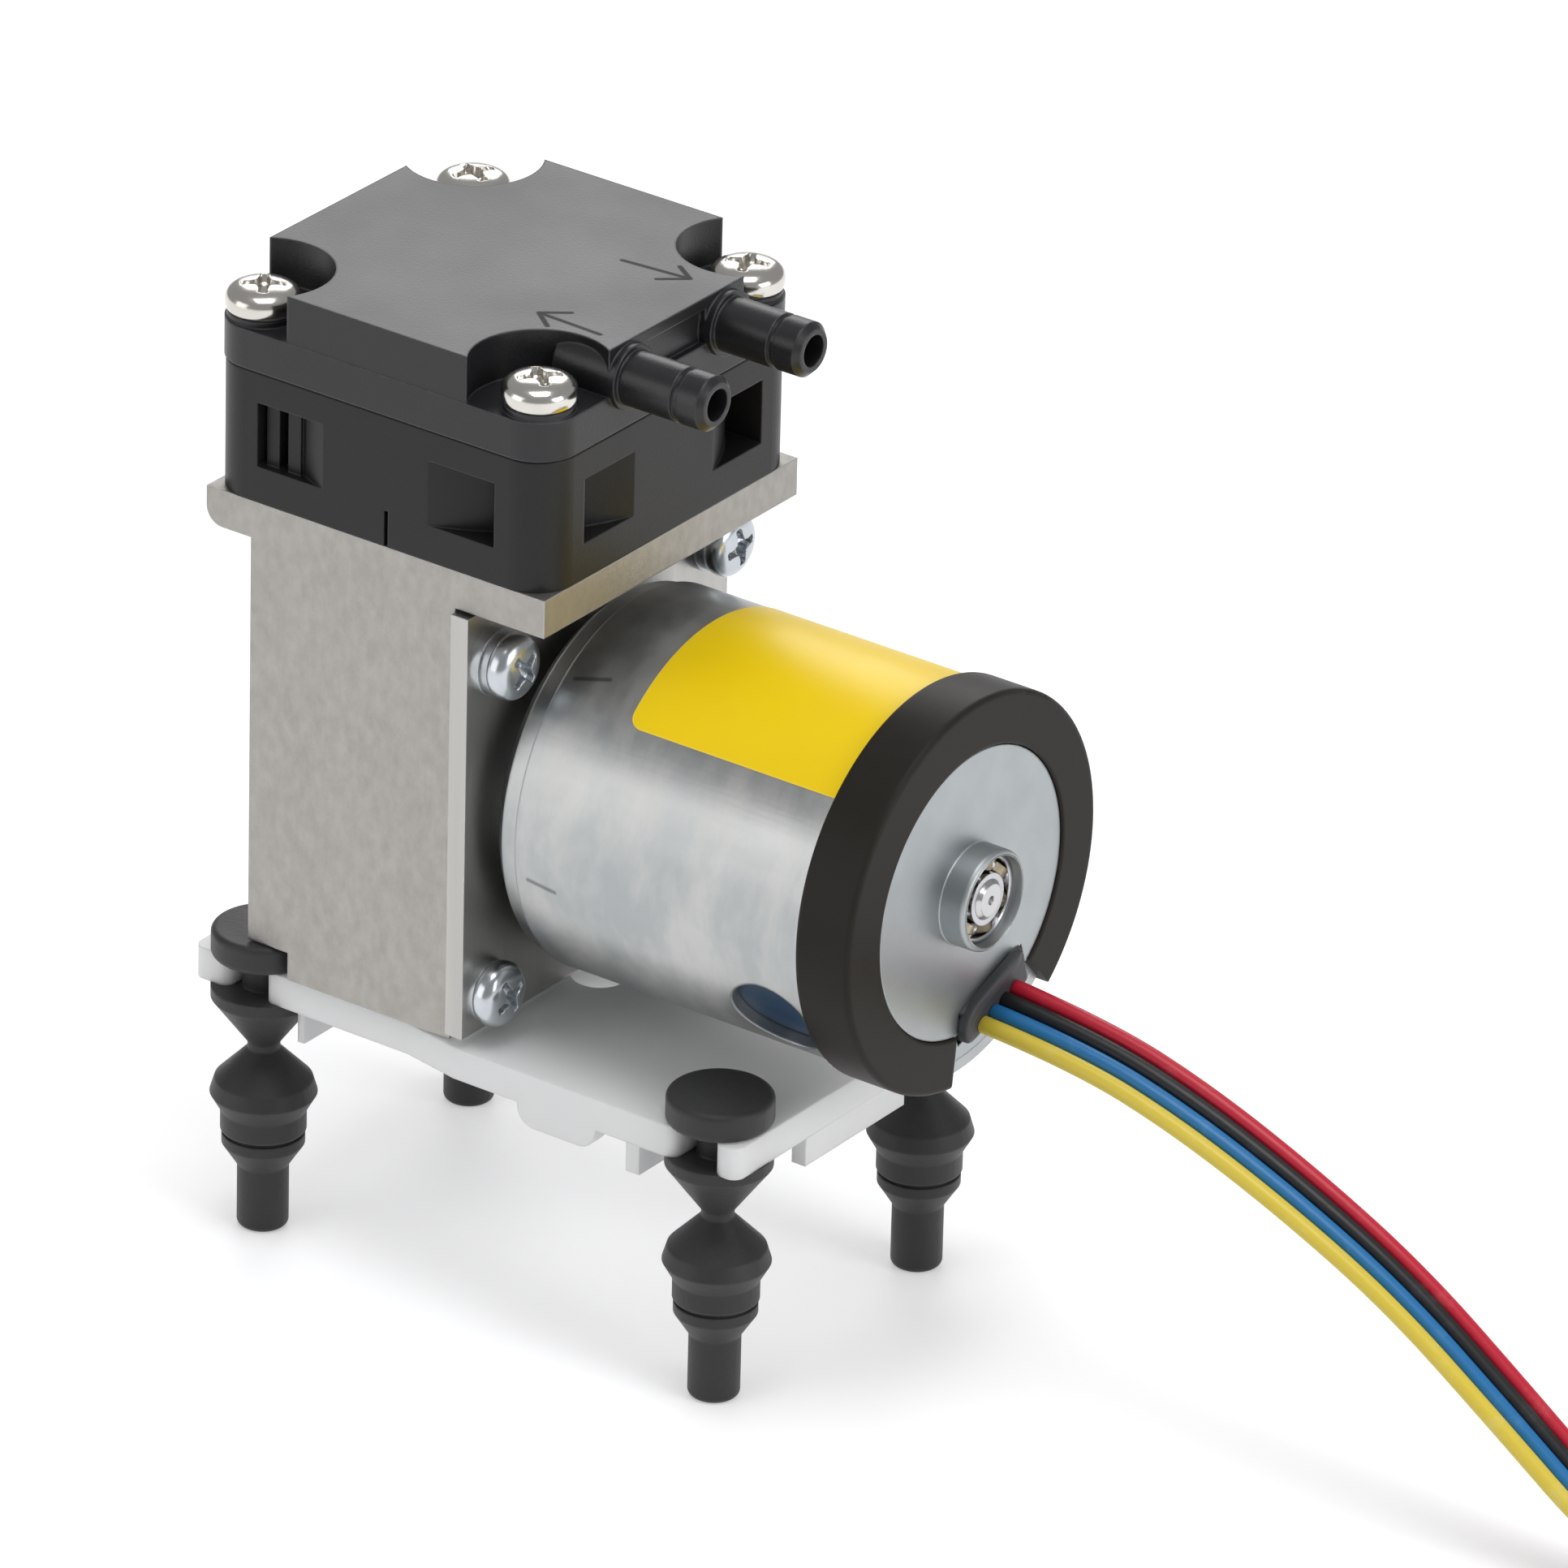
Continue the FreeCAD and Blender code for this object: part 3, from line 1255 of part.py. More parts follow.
def build_board():
    board = tube("driver_board", "can_inner - fit_gap", "board_hole", "board_thick",
                 "origin_shift + board_x", "0", "axis_z", along_x())
    board.Label = "driver_board"
    return board


def build_rotor():
    shaft = turned("motor_shaft", [
        ("shaft_front", "0"),
        ("shaft_front", "shaft_radius - shaft_bevel"),
        ("shaft_front + shaft_bevel", "shaft_radius"),
        ("shaft_rear - shaft_bevel", "shaft_radius"),
        ("shaft_rear", "shaft_radius - shaft_bevel"),
        ("shaft_rear", "0"),
    ], lengthwise=True, z="axis_z")
    core = tube("rotor_core", "magnet_radius - magnet_wall - fit_gap", "shaft_radius + fit_gap", "stator_length",
                "origin_shift + stator_x", "0", "axis_z", along_x())
    core.Label = "rotor_core"
    magnet = tube("rotor_magnet", "magnet_radius", "magnet_radius - magnet_wall", "stator_length",
                  "origin_shift + stator_x", "0", "axis_z", along_x())
    magnet.Label = "rotor_magnet"
    return [shaft, core, magnet]


# plate between the motor and the housing, with its screws and spring washers


def build_motor_plate():
    body = new_body("motor_plate_blank")
    outline = new_sketch(body, "YZ_Plane", "outline", lift="housing_front")
    add_box(outline, "-plate_half_width", "plate_half_width", "seat_z + plate_lift", "flange_bottom - plate_top_gap")
    pad(body, outline, "plate_thick")
    opening = new_sketch(body, "YZ_Plane", "opening", lift="housing_front")
    add_circle(opening, "boss_radius + shield_gap", "0", "axis_z")
    for side_y, side_z in SIDES:
        add_circle(opening, "plate_screw_radius + screw_gap", f"{side_y} * plate_screw_pitch_y / 2",
                   f"axis_z + {side_z} * plate_screw_pitch_z / 2")
    for sign in ("-1", "1"):
        add_circle(opening, "motor_screw_radius + screw_gap", f"{sign} * motor_screw_at", "axis_z")
    pocket(body, opening, "plate_thick", reverse=True)
    return body


def countersink(plate):
    """Conical seats for the two motor screws, on the plate's housing side."""
    seats = []
    for name, sign in (("near", "-1"), ("far", "1")):
        seats.append(cone(f"plate_sink_{name}", "motor_screw_head + thread_gap", "motor_screw_radius + screw_gap",
                          "motor_screw_head - motor_screw_radius", "origin_shift + housing_front",
                          f"{sign} * motor_screw_at", "axis_z", along_x()))
    sunk = cut("motor_plate", plate, join("plate_sinks", seats))
    sunk.Label = "motor_plate"
    return sunk


def build_motor_screws():
    screws = []
    for name, sign in (("near", "-1"), ("far", "1")):
        head = cone(f"motor_screw_{name}_head", "motor_screw_head", "motor_screw_radius",
                    "motor_screw_head - motor_screw_radius")
        shank = cylinder(f"motor_screw_{name}_shank", "motor_screw_radius", "motor_screw_length")
        screw = join(f"motor_screw_{name}", [head, shank])
        put(screw, "housing_front", f"{sign} * motor_screw_at", "axis_z", along_x())
        screws.append(screw)
    return group("motor_screws", screws)


def build_plate_fasteners():
    screws = []
    split_washers = []
    flat_washers = []
    bore = "plate_screw_radius + screw_gap / 2"
    for number, (side_y, side_z) in enumerate(SIDES, 1):
        y = f"{side_y} * plate_screw_pitch_y / 2"
        z = f"axis_z + {side_z} * plate_screw_pitch_z / 2"
        seat = "plate_outer"
        if side_z == "1":
            flat_washers.append(tube(f"flat_washer_{number}", "flat_washer_radius", bore, "flat_washer_thick",
                                     seat, y, z, along_x()))
            seat = "plate_outer + flat_washer_thick"
        ring = tube(f"washer_{number}_ring", "washer_radius", bore, "washer_thick")
        gap = block(f"washer_{number}_gap", "washer_radius + 1", "washer_split", "washer_thick + 2",
                    "0", "-washer_split / 2", "-1")
        washer = cut(f"washer_{number}", ring, gap)
        put(washer, seat, y, z, along_x())
        split_washers.append(washer)
        screws.append(pan_screw(f"plate_screw_{number}", "plate_screw", "plate_screw_length",
                                f"{seat} + washer_thick", y, z, along_x()))
    return [group("plate_screws", screws), group("spring_washers", split_washers),
            group("flat_washers", flat_washers)]


def build_head_screws():
    screws = []
    for number, (side_x, side_y) in enumerate(SIDES, 1):
        screws.append(pan_screw(f"head_screw_{number}", "head_screw", "head_screw_length",
                                f"{side_x} * screw_at", f"{side_y} * screw_at", "screw_seat_z"))
    return group("head_screws", screws)


def build_base_screws():
    screws = []
    for number, sign in enumerate(("-1", "1"), 1):
        screws.append(pan_screw(f"base_screw_{number}", "head_screw", "base_screw_length",
                                "(housing_front - housing_rear) / 2", f"{sign} * base_screw_pitch / 2",
                                "base_bottom", Rotation(Vector(1, 0, 0), 180)))
    return group("base_screws", screws)


# four leads, from the outlet down to the ground and along it, with stripped ends

# route of the lead bundle's middle, from the outlet: along X, sideways and down
LEAD_ROUTE = [
    (0.0, 0.0, 0.0),
    (8.0, 0.0, -0.5),
    (17.0, -0.1, -2.7),
    (26.5, -0.2, -6.3),
    (35.5, -0.2, -10.7),
    (44.5, -0.1, -17.0),
    (53.5, 0.3, -23.9),
    (64.0, 1.5, -28.1),
    (76.5, 4.0, -28.1),
    (89.9, 8.4, -28.1),
]
LEAD_COLOURS = ("red", "black", "blue", "yellow")


def lead_points(order):
    """A lead's own route: beside its neighbours, and flat on the ground at the end."""
    angle = math.radians(value("outlet_angle"))
    middle = value("outlet_inner + lead_row_depth")
    offset = (1.5 - order) * value("lead_pitch")
    exit_y = middle * math.cos(angle) - offset * math.sin(angle)
    exit_z = value("axis_z") + middle * math.sin(angle) + offset * math.cos(angle)
    ground = value("lead_radius")
    middle_z = value("axis_z") + middle * math.sin(angle)
    last = len(LEAD_ROUTE) - 1
    points = []
    for step, (dx, dy, dz) in enumerate(LEAD_ROUTE):
        height = max(ground, middle_z + dz + (exit_z - middle_z) * (1 - step / last))
        points.append(Vector(value("origin_shift + outlet_x") + dx, exit_y + dy, height))
    return points


def smooth_path(points):
    """Straight runs joined by arcs, each as large as its two runs allow."""
    edges = []
    start = points[0]
    radii = []
    for before, corner, after in zip(points, points[1:], points[2:]):
        into = (corner - before).normalize()
        out = (after - corner).normalize()
        turn = into.getAngle(out)
        shorter = min((corner - before).Length, (after - corner).Length)
        back = 0.45 * shorter
        radii.append(back / math.tan(turn / 2))
        arc_start = corner - into * back
        arc_end = corner + out * back
        bisector = (out - into).normalize()
        middle = corner + bisector * (radii[-1] / math.cos(turn / 2) - radii[-1])
        edges.append(Part.LineSegment(start, arc_start).toShape())
        edges.append(Part.Arc(arc_start, middle, arc_end).toShape())
        start = arc_end
    edges.append(Part.LineSegment(start, points[-1]).toShape())
    return Part.Wire(edges), radii


def sweep_round(path, radius):
    start = path.Edges[0]
    direction = start.tangentAt(start.FirstParameter)
    circle = Part.Circle(start.valueAt(start.FirstParameter), direction, radius)
    section = Part.Wire([circle.toShape()])
    return path.makePipeShell([section], True, False)


def build_lead(colour, order):
    points = lead_points(order)
    path, radii = smooth_path(points)
    radius = value("lead_radius")
    lead = doc.addObject("Part::Feature", f"lead_{colour}")
    lead.Label = f"lead_{colour}"
    lead.Shape = sweep_round(path, radius)
    expected = math.pi * radius ** 2 * path.Length
    if abs(lead.Shape.Volume / expected - 1) > 0.01:
        raise RuntimeError(f"lead_{colour} has volume {lead.Shape.Volume:.1f}, not {expected:.1f}")
    print(f"lead_{colour}: {path.Length:.1f} mm, radii", " ".join(f"{radius:.1f}" for radius in radii))
    direction = (points[-1] - points[-2]).normalize()
    end = doc.addObject("Part::Feature", f"lead_end_{colour}")
    end.Label = f"lead_end_{colour}"
    end.Shape = Part.makeCylinder(value("lead_strand_radius"), value("lead_strip"), points[-1], direction)
    return [lead, end]


nodes = [
    build_foot("foot_rear_near", "origin_shift - foot_ahead", "-foot_pitch_y / 2"),
    build_foot("foot_rear_far", "origin_shift - foot_ahead", "foot_pitch_y / 2"),
    build_foot("foot_front_near", "origin_shift + foot_pitch_x - foot_ahead", "-foot_pitch_y / 2"),
    build_foot("foot_front_far", "origin_shift + foot_pitch_x - foot_ahead", "foot_pitch_y / 2"),
    build_base_plate(),
    build_base_screws(),
    build_housing(),
    build_diaphragm(),
    build_retainer(),
    build_retainer_screw(),
    build_rod(),
    build_eccentric(),
    build_set_screw(),
    build_head_body(),
    build_valve_plate(),
    build_flap("intake", "-1"),
    build_flap("exhaust", "1"),
    build_valve_seal(),
    build_cover(),
    build_head_screws(),
    build_can(),
    build_end_cap(),
    build_wire_outlet(),
    build_end_ring(),
    build_label(),
    build_stator(),
    build_windings(),
    build_insulator(),
    build_board(),
    build_motor_screws(),
]
nodes.append(countersink(build_motor_plate()))
nodes += build_rotor()
nodes += build_plate_fasteners()
nodes += build_bearing("front_bearing", "shaft_radius", "front_bearing_outer", "front_bearing_x",
                       "front_bearing_width")
nodes += build_bearing("rear_bearing", "shaft_radius", "rear_bearing_outer", "rear_bearing_x",
                       "rear_bearing_width")
nodes += build_bearing("rod_bearing", "rod_bearing_inner", "rod_bearing_outer", "-rod_thick / 2",
                       "rod_thick", z="pin_z")
for order, colour in enumerate(LEAD_COLOURS):
    nodes += build_lead(colour, order)

doc.recompute()
failed = [item.Label for item in doc.Objects if {"Invalid", "Error"} & set(item.State)]
failed += [node.Label for node in nodes if node.Shape.isNull() or not node.Shape.isValid()]
if failed:
    raise RuntimeError("these did not build: " + ", ".join(failed))

os.makedirs("parts", exist_ok=True)
for node in nodes:
    node.Shape.exportStep(f"parts/{node.Label}.step")
print(len(nodes), "pieces")
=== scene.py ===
import json
import math

import bpy
import numpy as np
from mathutils import Matrix, Vector


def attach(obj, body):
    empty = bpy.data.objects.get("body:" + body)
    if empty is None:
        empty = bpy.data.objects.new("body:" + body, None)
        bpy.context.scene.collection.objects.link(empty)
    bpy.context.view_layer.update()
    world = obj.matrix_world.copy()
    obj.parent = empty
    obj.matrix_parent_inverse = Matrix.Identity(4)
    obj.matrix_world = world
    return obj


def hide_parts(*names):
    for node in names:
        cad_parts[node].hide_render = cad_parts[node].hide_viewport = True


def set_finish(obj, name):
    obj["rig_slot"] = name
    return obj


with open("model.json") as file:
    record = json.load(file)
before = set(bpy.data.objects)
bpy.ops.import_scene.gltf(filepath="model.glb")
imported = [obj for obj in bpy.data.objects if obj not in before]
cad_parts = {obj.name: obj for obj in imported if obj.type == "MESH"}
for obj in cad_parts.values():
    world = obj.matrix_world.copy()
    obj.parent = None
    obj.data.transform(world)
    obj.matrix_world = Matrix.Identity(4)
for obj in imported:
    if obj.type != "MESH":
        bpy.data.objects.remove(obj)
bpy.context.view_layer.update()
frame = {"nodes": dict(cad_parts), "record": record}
nodes = frame["nodes"]
axisHeight = 0.03906
print("frame loaded:", len(nodes), "nodes")

# camera: about a metre off, to the motor's side and 27 degrees up
view = dict(
    place=(0.545472, -0.747990, 0.506748),
    right=(0.80687922, 0.59026592, 0.02306677),
    up=(-0.28291767, 0.35187300, 0.89226845),
    back=(0.51855908, -0.72647886, 0.45091567),
    lens=334.0445,
    sensor=36.0,
    clip=(0.05, 20.0),
)


def placeCamera(values):
    # the columns of the turn are the picture's right, its up and the way back
    data = bpy.data.cameras.new("pumpCamera")
    data.lens = values["lens"]
    data.sensor_width = values["sensor"]
    data.sensor_fit = "HORIZONTAL"
    data.clip_start, data.clip_end = values["clip"]
    camera = bpy.data.objects.new("pumpCamera", data)
    turn = Matrix((values["right"], values["up"], values["back"])).transposed().to_4x4()
    camera.matrix_world = Matrix.Translation(values["place"]) @ turn
    bpy.context.scene.collection.objects.link(camera)
    bpy.context.scene.camera = camera


placeCamera(view)
print("camera placed")

# four limp leads side by side, from the outlet to the floor: they share a run along x and a drift along y
leadForm = dict(
    radius=0.00065, order=3, steps=12, jacketSteps=5,
    run=(0.02825, 0.03625, 0.04525, 0.05475, 0.06375, 0.07275, 0.08175, 0.09225, 0.10475, 0.11815),
    drift=(0.0, 0.0, -0.0001, -0.0002, -0.0002, -0.0001, 0.0003, 0.0015, 0.0040, 0.0084),
)
leads = {
    "red": dict(
        aside=0.00546, length=0.0979,
        heights=(0.02941, 0.02884, 0.02657, 0.02289, 0.01842, 0.01205, 0.00507, 0.00080, 0.00073, 0.00065),
    ),
    "black": dict(
        aside=0.00419, length=0.0978,
        heights=(0.02897, 0.02845, 0.02622, 0.02260, 0.01818, 0.01185, 0.00493, 0.00070, 0.00068, 0.00065),
    ),
    "blue": dict(
        aside=0.00291, length=0.0976,
        heights=(0.02853, 0.02806, 0.02588, 0.02231, 0.01793, 0.01166, 0.00478, 0.00065, 0.00065, 0.00065),
    ),
    "yellow": dict(
        aside=0.00163, length=0.0975,
        heights=(0.02809, 0.02767, 0.02554, 0.02201, 0.01769, 0.01146, 0.00463, 0.00065, 0.00065, 0.00065),
    ),
}


def leadRoute(values, form):
    sideways = [round(values["aside"] + drift, 5) for drift in form["drift"]]
    return list(zip(form["run"], sideways, values["heights"]))


def layLead(colour, route, form):
    # a NURBS line through the route's corners, with a round jacket
    curve = bpy.data.curves.new(f"lead{colour.title()}Line", "CURVE")
    curve.dimensions = "3D"
    spline = curve.splines.new("NURBS")
    spline.points.add(len(route) - 1)
    for point, place in zip(spline.points, route):
        point.co = (*place, 1.0)
        point.radius = form["radius"]
    spline.order_u = form["order"]
    spline.use_endpoint_u = True
    spline.resolution_u = form["steps"]
    curve.bevel_depth = 1.0
    curve.bevel_resolution = form["jacketSteps"]
    curve.use_fill_caps = True
    lead = bpy.data.objects.new(f"lead{colour.title()}", curve)
    bpy.context.scene.collection.objects.link(lead)
    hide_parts(f"lead_{colour}")
    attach(lead, "root")
    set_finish(lead, f"wire_{colour}")
    return lead


routes = {colour: leadRoute(values, leadForm) for colour, values in leads.items()}
leadPieces = {colour: layLead(colour, route, leadForm) for colour, route in routes.items()}
print("leads laid")


def makePiece(name, points, faces, sharp=40.0):
    # points as an array and faces as lists, smooth where neighbours meet under the sharp angle
    mesh = bpy.data.meshes.new(name)
    mesh.from_pydata(points.tolist(), [], faces)
    mesh.update()
    mesh.polygons.foreach_set("use_smooth", np.ones(len(mesh.polygons), bool))
    mesh.set_sharp_from_angle(angle=math.radians(sharp))
    piece = bpy.data.objects.new(name, mesh)
    bpy.context.scene.collection.objects.link(piece)
    return piece


def setPiece(name, skins, body, slot, node=None, sharp=40.0):
    # one piece from its skins, on its body, with its slot and the CAD node whose place it takes
    points = []
    faces = []
    for skinPoints, skinFaces in skins:
        start = sum(map(len, points))
        faces += [[corner + start for corner in face] for face in skinFaces]
        points.append(skinPoints)
    piece = makePiece(name, np.concatenate(points), faces, sharp)
    if node:
        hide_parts(node)
    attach(piece, body)
    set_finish(piece, slot)
    return piece


def ringFaces(rows, around):
    # quads from each ring to the next, then the fan that closes the first ring, and apart the last ring's
    index = np.arange(rows * around).reshape(rows, around)
    ahead = np.roll(index, -1, axis=1)
    quads = np.stack([index[:-1], index[1:], ahead[1:], ahead[:-1]], axis=-1).reshape(-1, 4)
    first = np.stack([np.full(around, rows * around), index[0], ahead[0]], axis=-1)
    last = np.stack([np.full(around, rows * around + 1), ahead[-1], index[-1]], axis=-1)
    return quads.tolist() + first.tolist(), last.tolist()


def closedSkin(rings):
    # rings[i, j] is point j of ring i, and the first and last ring close on their middle points
    sides, end = ringFaces(*rings.shape[:2])
    return np.concatenate([rings.reshape(-1, 3), [rings[0].mean(axis=0), rings[-1].mean(axis=0)]]), sides + end


def grid(*coordinates):
    return np.stack(np.broadcast_arrays(*coordinates), axis=-1)


def fullTurn(count):
    return np.linspace(0.0, 2.0 * np.pi, count, endpoint=False)


def aboutZ(radius, angle, height):
    # x = r cos a, y = r sin a
    return grid(radius * np.cos(angle), radius * np.sin(angle), height)


def aboutMotor(x, radius, angle):
    # y = r cos a, z = axis height + r sin a
    return grid(x, radius * np.cos(angle), axisHeight + radius * np.sin(angle))


def smoothStep(value):
    clipped = np.clip(value, 0.0, 1.0)
    return clipped * clipped * (3.0 - 2.0 * clipped)


# shares of the head's radius that shape a recess, and of the shank's that shape its tip
recessForm = dict(
    flare=0.13, flareReach=0.2, wall=0.05, endWall=0.09, taper=0.45, keyWall=0.06,
    footRows=6, panFoot=0.9, tip=0.72, tipPitches=0.8,
)


def screwSkin(values, turn, form=recessForm):
    # a screw along z with its seat at 0: a domed or sunk head, a cross or six-sided recess, and a thread
    # dome: r = R cos(a)^(2/n), z = edge + (rise - edge) sin(a)^(2/n)
    # recess: the depth falls off past the arms' width and length, or past the key's flats
    # thread: r = shank - depth |2 frac(z / pitch - angle / 2 pi) - 1|
    angle = fullTurn(values["around"])[None, :] + turn
    own = angle - turn
    head, rise, shank, pitch = (values[key] for key in ("head", "rise", "shank", "pitch"))
    edge = rise * values.get("edge", 0.0)
    if values["sunk"]:
        r = np.linspace(0.0, head, values["domeRows"])[1:, None]
        top = np.full_like(r, rise)
    else:
        bend = np.linspace(0.5 * np.pi, 0.0, values["domeRows"])[1:, None]
        power = 2.0 / values["fullness"]
        r = head * np.cos(bend) ** power
        top = edge + (rise - edge) * np.sin(bend) ** power
    if values["recess"] == "cross":
        x, y = np.abs(r * np.cos(own)), np.abs(r * np.sin(own))
        across, along = np.minimum(x, y), np.maximum(x, y)
        arm = head * (values["arm"] + form["flare"] * np.exp(-(along / (form["flareReach"] * head)) ** 2))
        reach = head * values["reach"]
        pit = smoothStep((arm - across) / (form["wall"] * head)) * (1.0 - form["taper"] * along / reach)
        pit = pit * smoothStep((reach - along) / (form["endWall"] * head))
    else:
        sector = (own + np.pi / 6.0) % (np.pi / 3.0) - np.pi / 6.0
        pit = smoothStep((values["key"] - r * np.cos(sector)) / (form["keyWall"] * head))
    rings = [aboutZ(r, angle, top - values["depth"] * pit)]
    if head > shank:
        lower = np.linspace(0.0, 0.5 * np.pi, form["footRows"])[1:, None]
        foot = form["panFoot"] * head
        side, height = foot + (head - foot) * np.cos(lower), edge * (1.0 - np.sin(lower))
        if values["sunk"]:
            side = np.linspace(head, shank, form["footRows"])[1:, None]
            height = np.linspace(rise, 0.0, form["footRows"])[1:, None]
        rings.append(aboutZ(side, angle, height))
    down = -np.linspace(0.0, values["length"], int(values["length"] / pitch * values["threadRows"]))[:, None]
    phase = (down / pitch - own / (2.0 * np.pi)) % 1.0
    tip = smoothStep((values["length"] + down) / (form["tipPitches"] * pitch))
    groove = values["thread"] * np.abs(2.0 * phase - 1.0) * smoothStep(-down / pitch)
    rings.append(aboutZ((shank - groove) * (form["tip"] + (1.0 - form["tip"]) * tip), angle, down))
    return closedSkin(np.concatenate(rings))


def stand(skin, place, toward):
    # turn a skin from z to the axis toward, and carry it to its place
    turn = np.array(Vector((0, 0, 1)).rotation_difference(Vector(toward)).to_matrix())
    return skin[0] @ turn.T + np.array(place), skin[1]


panScrew = dict(
    head=0.00275, rise=0.002, edge=0.34, fullness=2.7, sunk=False,
    recess="cross", arm=0.115, reach=0.6, depth=0.00105,
    shank=0.0015, pitch=0.0005, thread=0.00028, around=96, domeRows=46, threadRows=4,
)
sunkScrew = dict(sunk=True, recess="cross", arm=0.11, reach=0.66, threadRows=4)
screwSets = [
    dict(
        panScrew, piece="headScrewSet", node="head_screws", body="root", slot="nickel_screw",
        length=0.016, toward=(0, 0, 1), turns=[0.35, 1.15, 0.62, 0.9], places=[
            (-0.0015, 0.0122, 0.0731), (-0.0259, 0.0122, 0.0731),
            (-0.0259, -0.0122, 0.0731), (-0.0015, -0.0122, 0.0731),
        ],
    ),
    dict(
        panScrew, piece="baseScrewSet", node="base_screws", body="root", slot="zinc_screw",
        length=0.007, toward=(0, 0, -1), turns=[0.4, 1.0],
        places=[(-0.0156, 0.009, 0.0196), (-0.0156, -0.009, 0.0196)],
    ),
    dict(
        panScrew, piece="plateScrewSet", node="plate_screws", body="root", slot="zinc_screw",
        head=0.00245, rise=0.0018, edge=0.3, fullness=2.9, arm=0.12, reach=0.62,
        depth=0.001, shank=0.00125, length=0.008, pitch=0.00045, thread=0.00025,
        domeRows=44, toward=(1, 0, 0), turns=[0.2, 0.75, 0.5, 1.2], places=[
            (-0.0036, 0.0128, 0.05216), (-0.0036, -0.0128, 0.05216),
            (-0.0044, -0.0128, 0.02596), (-0.0044, 0.0128, 0.02596),
        ],
    ),
    dict(
        sunkScrew, piece="motorScrewSet", node="motor_screws", body="root", slot="zinc_screw",
        head=0.0019, rise=0.0009, depth=0.0007, shank=0.001, length=0.0025, pitch=0.0004,
        thread=0.0002, around=64, domeRows=30, toward=(-1, 0, 0), turns=[0.5, 1.1],
        places=[(-0.0056, -0.0076, axisHeight), (-0.0056, 0.0076, axisHeight)],
    ),
    dict(
        sunkScrew, piece="retainerScrewPiece", node="retainer_screw", body="rod", slot="nickel_screw",
        head=0.00221, rise=0.00096, depth=0.0008, shank=0.00125, length=0.00704, pitch=0.00045,
        thread=0.00025, around=72, domeRows=34, toward=(0, 0, 1), turns=[0.3],
        places=[(-0.0137, 0.0, 0.05864)],
    ),
    dict(
        piece="setScrewPiece", node="set_screw", body="rotor", slot="black_steel", sunk=True,
        head=0.00125, rise=0.0, recess="hexagon", key=0.00065, depth=0.0011, shank=0.00125,
        length=0.00299, pitch=0.00045, thread=0.00022, around=60, domeRows=26, threadRows=5,
        toward=(0, 0, -1), turns=[0.2], places=[(-0.00904, 0.0, 0.03451)],
    ),
]


def turnIn(values):
    # all the screws of one node as one piece, each at its place
    standing = [
        stand(screwSkin(values, turn), place, values["toward"])
        for place, turn in zip(values["places"], values["turns"])
    ]
    return setPiece(values["piece"], standing, values["body"], values["slot"], values["node"], sharp=38.0)


screwPieces = [turnIn(values) for values in screwSets]
print("screws turned in")

# stripped lead ends: seven tinned strands, six of them twisted round the middle one
strandTwist = dict(strand=0.0001, ring=0.0002, turns=0.6, around=10, rows=24, bare=0.0025)


def twistStrands(colour, route, values):
    # strand k runs along the lead's last line at ring (cos c, sin c), with c = 2 pi (k / 6 + turns t)
    last = np.array(route[-1])
    along = last - np.array(route[-2])
    along /= np.linalg.norm(along)
    sideways = np.cross((0.0, 0.0, 1.0), along)
    sideways /= np.linalg.norm(sideways)
    upward = np.cross(along, sideways)
    t = np.linspace(0.0, 1.0, values["rows"])
    line = last + np.outer(t * values["bare"], along)
    b = fullTurn(values["around"])
    tube = values["strand"] * (np.outer(np.cos(b), sideways) + np.outer(np.sin(b), upward))
    skins = [closedSkin(line[:, None, :] + tube)]
    for k in range(6):
        c = 2.0 * np.pi * (k / 6.0 + values["turns"] * t)
        centre = line + values["ring"] * (np.outer(np.cos(c), sideways) + np.outer(np.sin(c), upward))
        skins.append(closedSkin(centre[:, None, :] + tube))
    return setPiece(f"leadEnd{colour.title()}", skins, "root", "tinned_copper", f"lead_end_{colour}")


endPieces = {colour: twistStrands(colour, route, strandTwist) for colour, route in routes.items()}
print("lead ends stripped")

# bare yellow sticker: angles from +Y round the motor's axis, in degrees
sticker = dict(
    start=0.0053, end=0.02339, first=42.0, last=135.7, corner=0.0011,
    inner=0.01441, outer=0.01447, rows=60, columns=90, crowding=1.6,
)


def sheetSkin(outer, inner):
    # two grids of points as the faces of a thin sheet, joined all round their rim
    size = outer.shape[0] * outer.shape[1]
    top = np.arange(size).reshape(outer.shape[:2])
    over = np.stack([top[:-1, :-1], top[:-1, 1:], top[1:, 1:], top[1:, :-1]], axis=-1).reshape(-1, 4)
    rim = np.concatenate([top[0, :-1], top[:-1, -1], top[-1, :0:-1], top[:0:-1, 0]])
    ahead = np.roll(rim, -1)
    side = np.stack([ahead, rim, rim + size, ahead + size], axis=-1)
    faces = over.tolist() + (over[:, [0, 3, 2, 1]] + size).tolist() + side.tolist()
    return np.concatenate([outer.reshape(-1, 3), inner.reshape(-1, 3)]), faces


def makeSticker(values):
    # rounded corners: a row at distance d from the front edge starts r - sqrt(r^2 - (r - d)^2) further in
    share = np.linspace(0.0, 1.0, values["rows"])[:, None] ** values["crowding"]
    x = values["start"] + share * (values["end"] - values["start"])
    short = np.clip(values["corner"] - (x - values["start"]), 0.0, values["corner"])
    inset = (values["corner"] - np.sqrt(values["corner"] ** 2 - short ** 2)) / values["outer"]
    first = math.radians(values["first"]) + inset
    last = math.radians(values["last"]) - inset
    angle = first + np.linspace(0.0, 1.0, values["columns"])[None, :] * (last - first)
    skin = sheetSkin(aboutMotor(x, values["outer"], angle), aboutMotor(x, values["inner"], angle))
    return setPiece("stickerSheet", [skin], "root", "label_yellow", "motor_label")


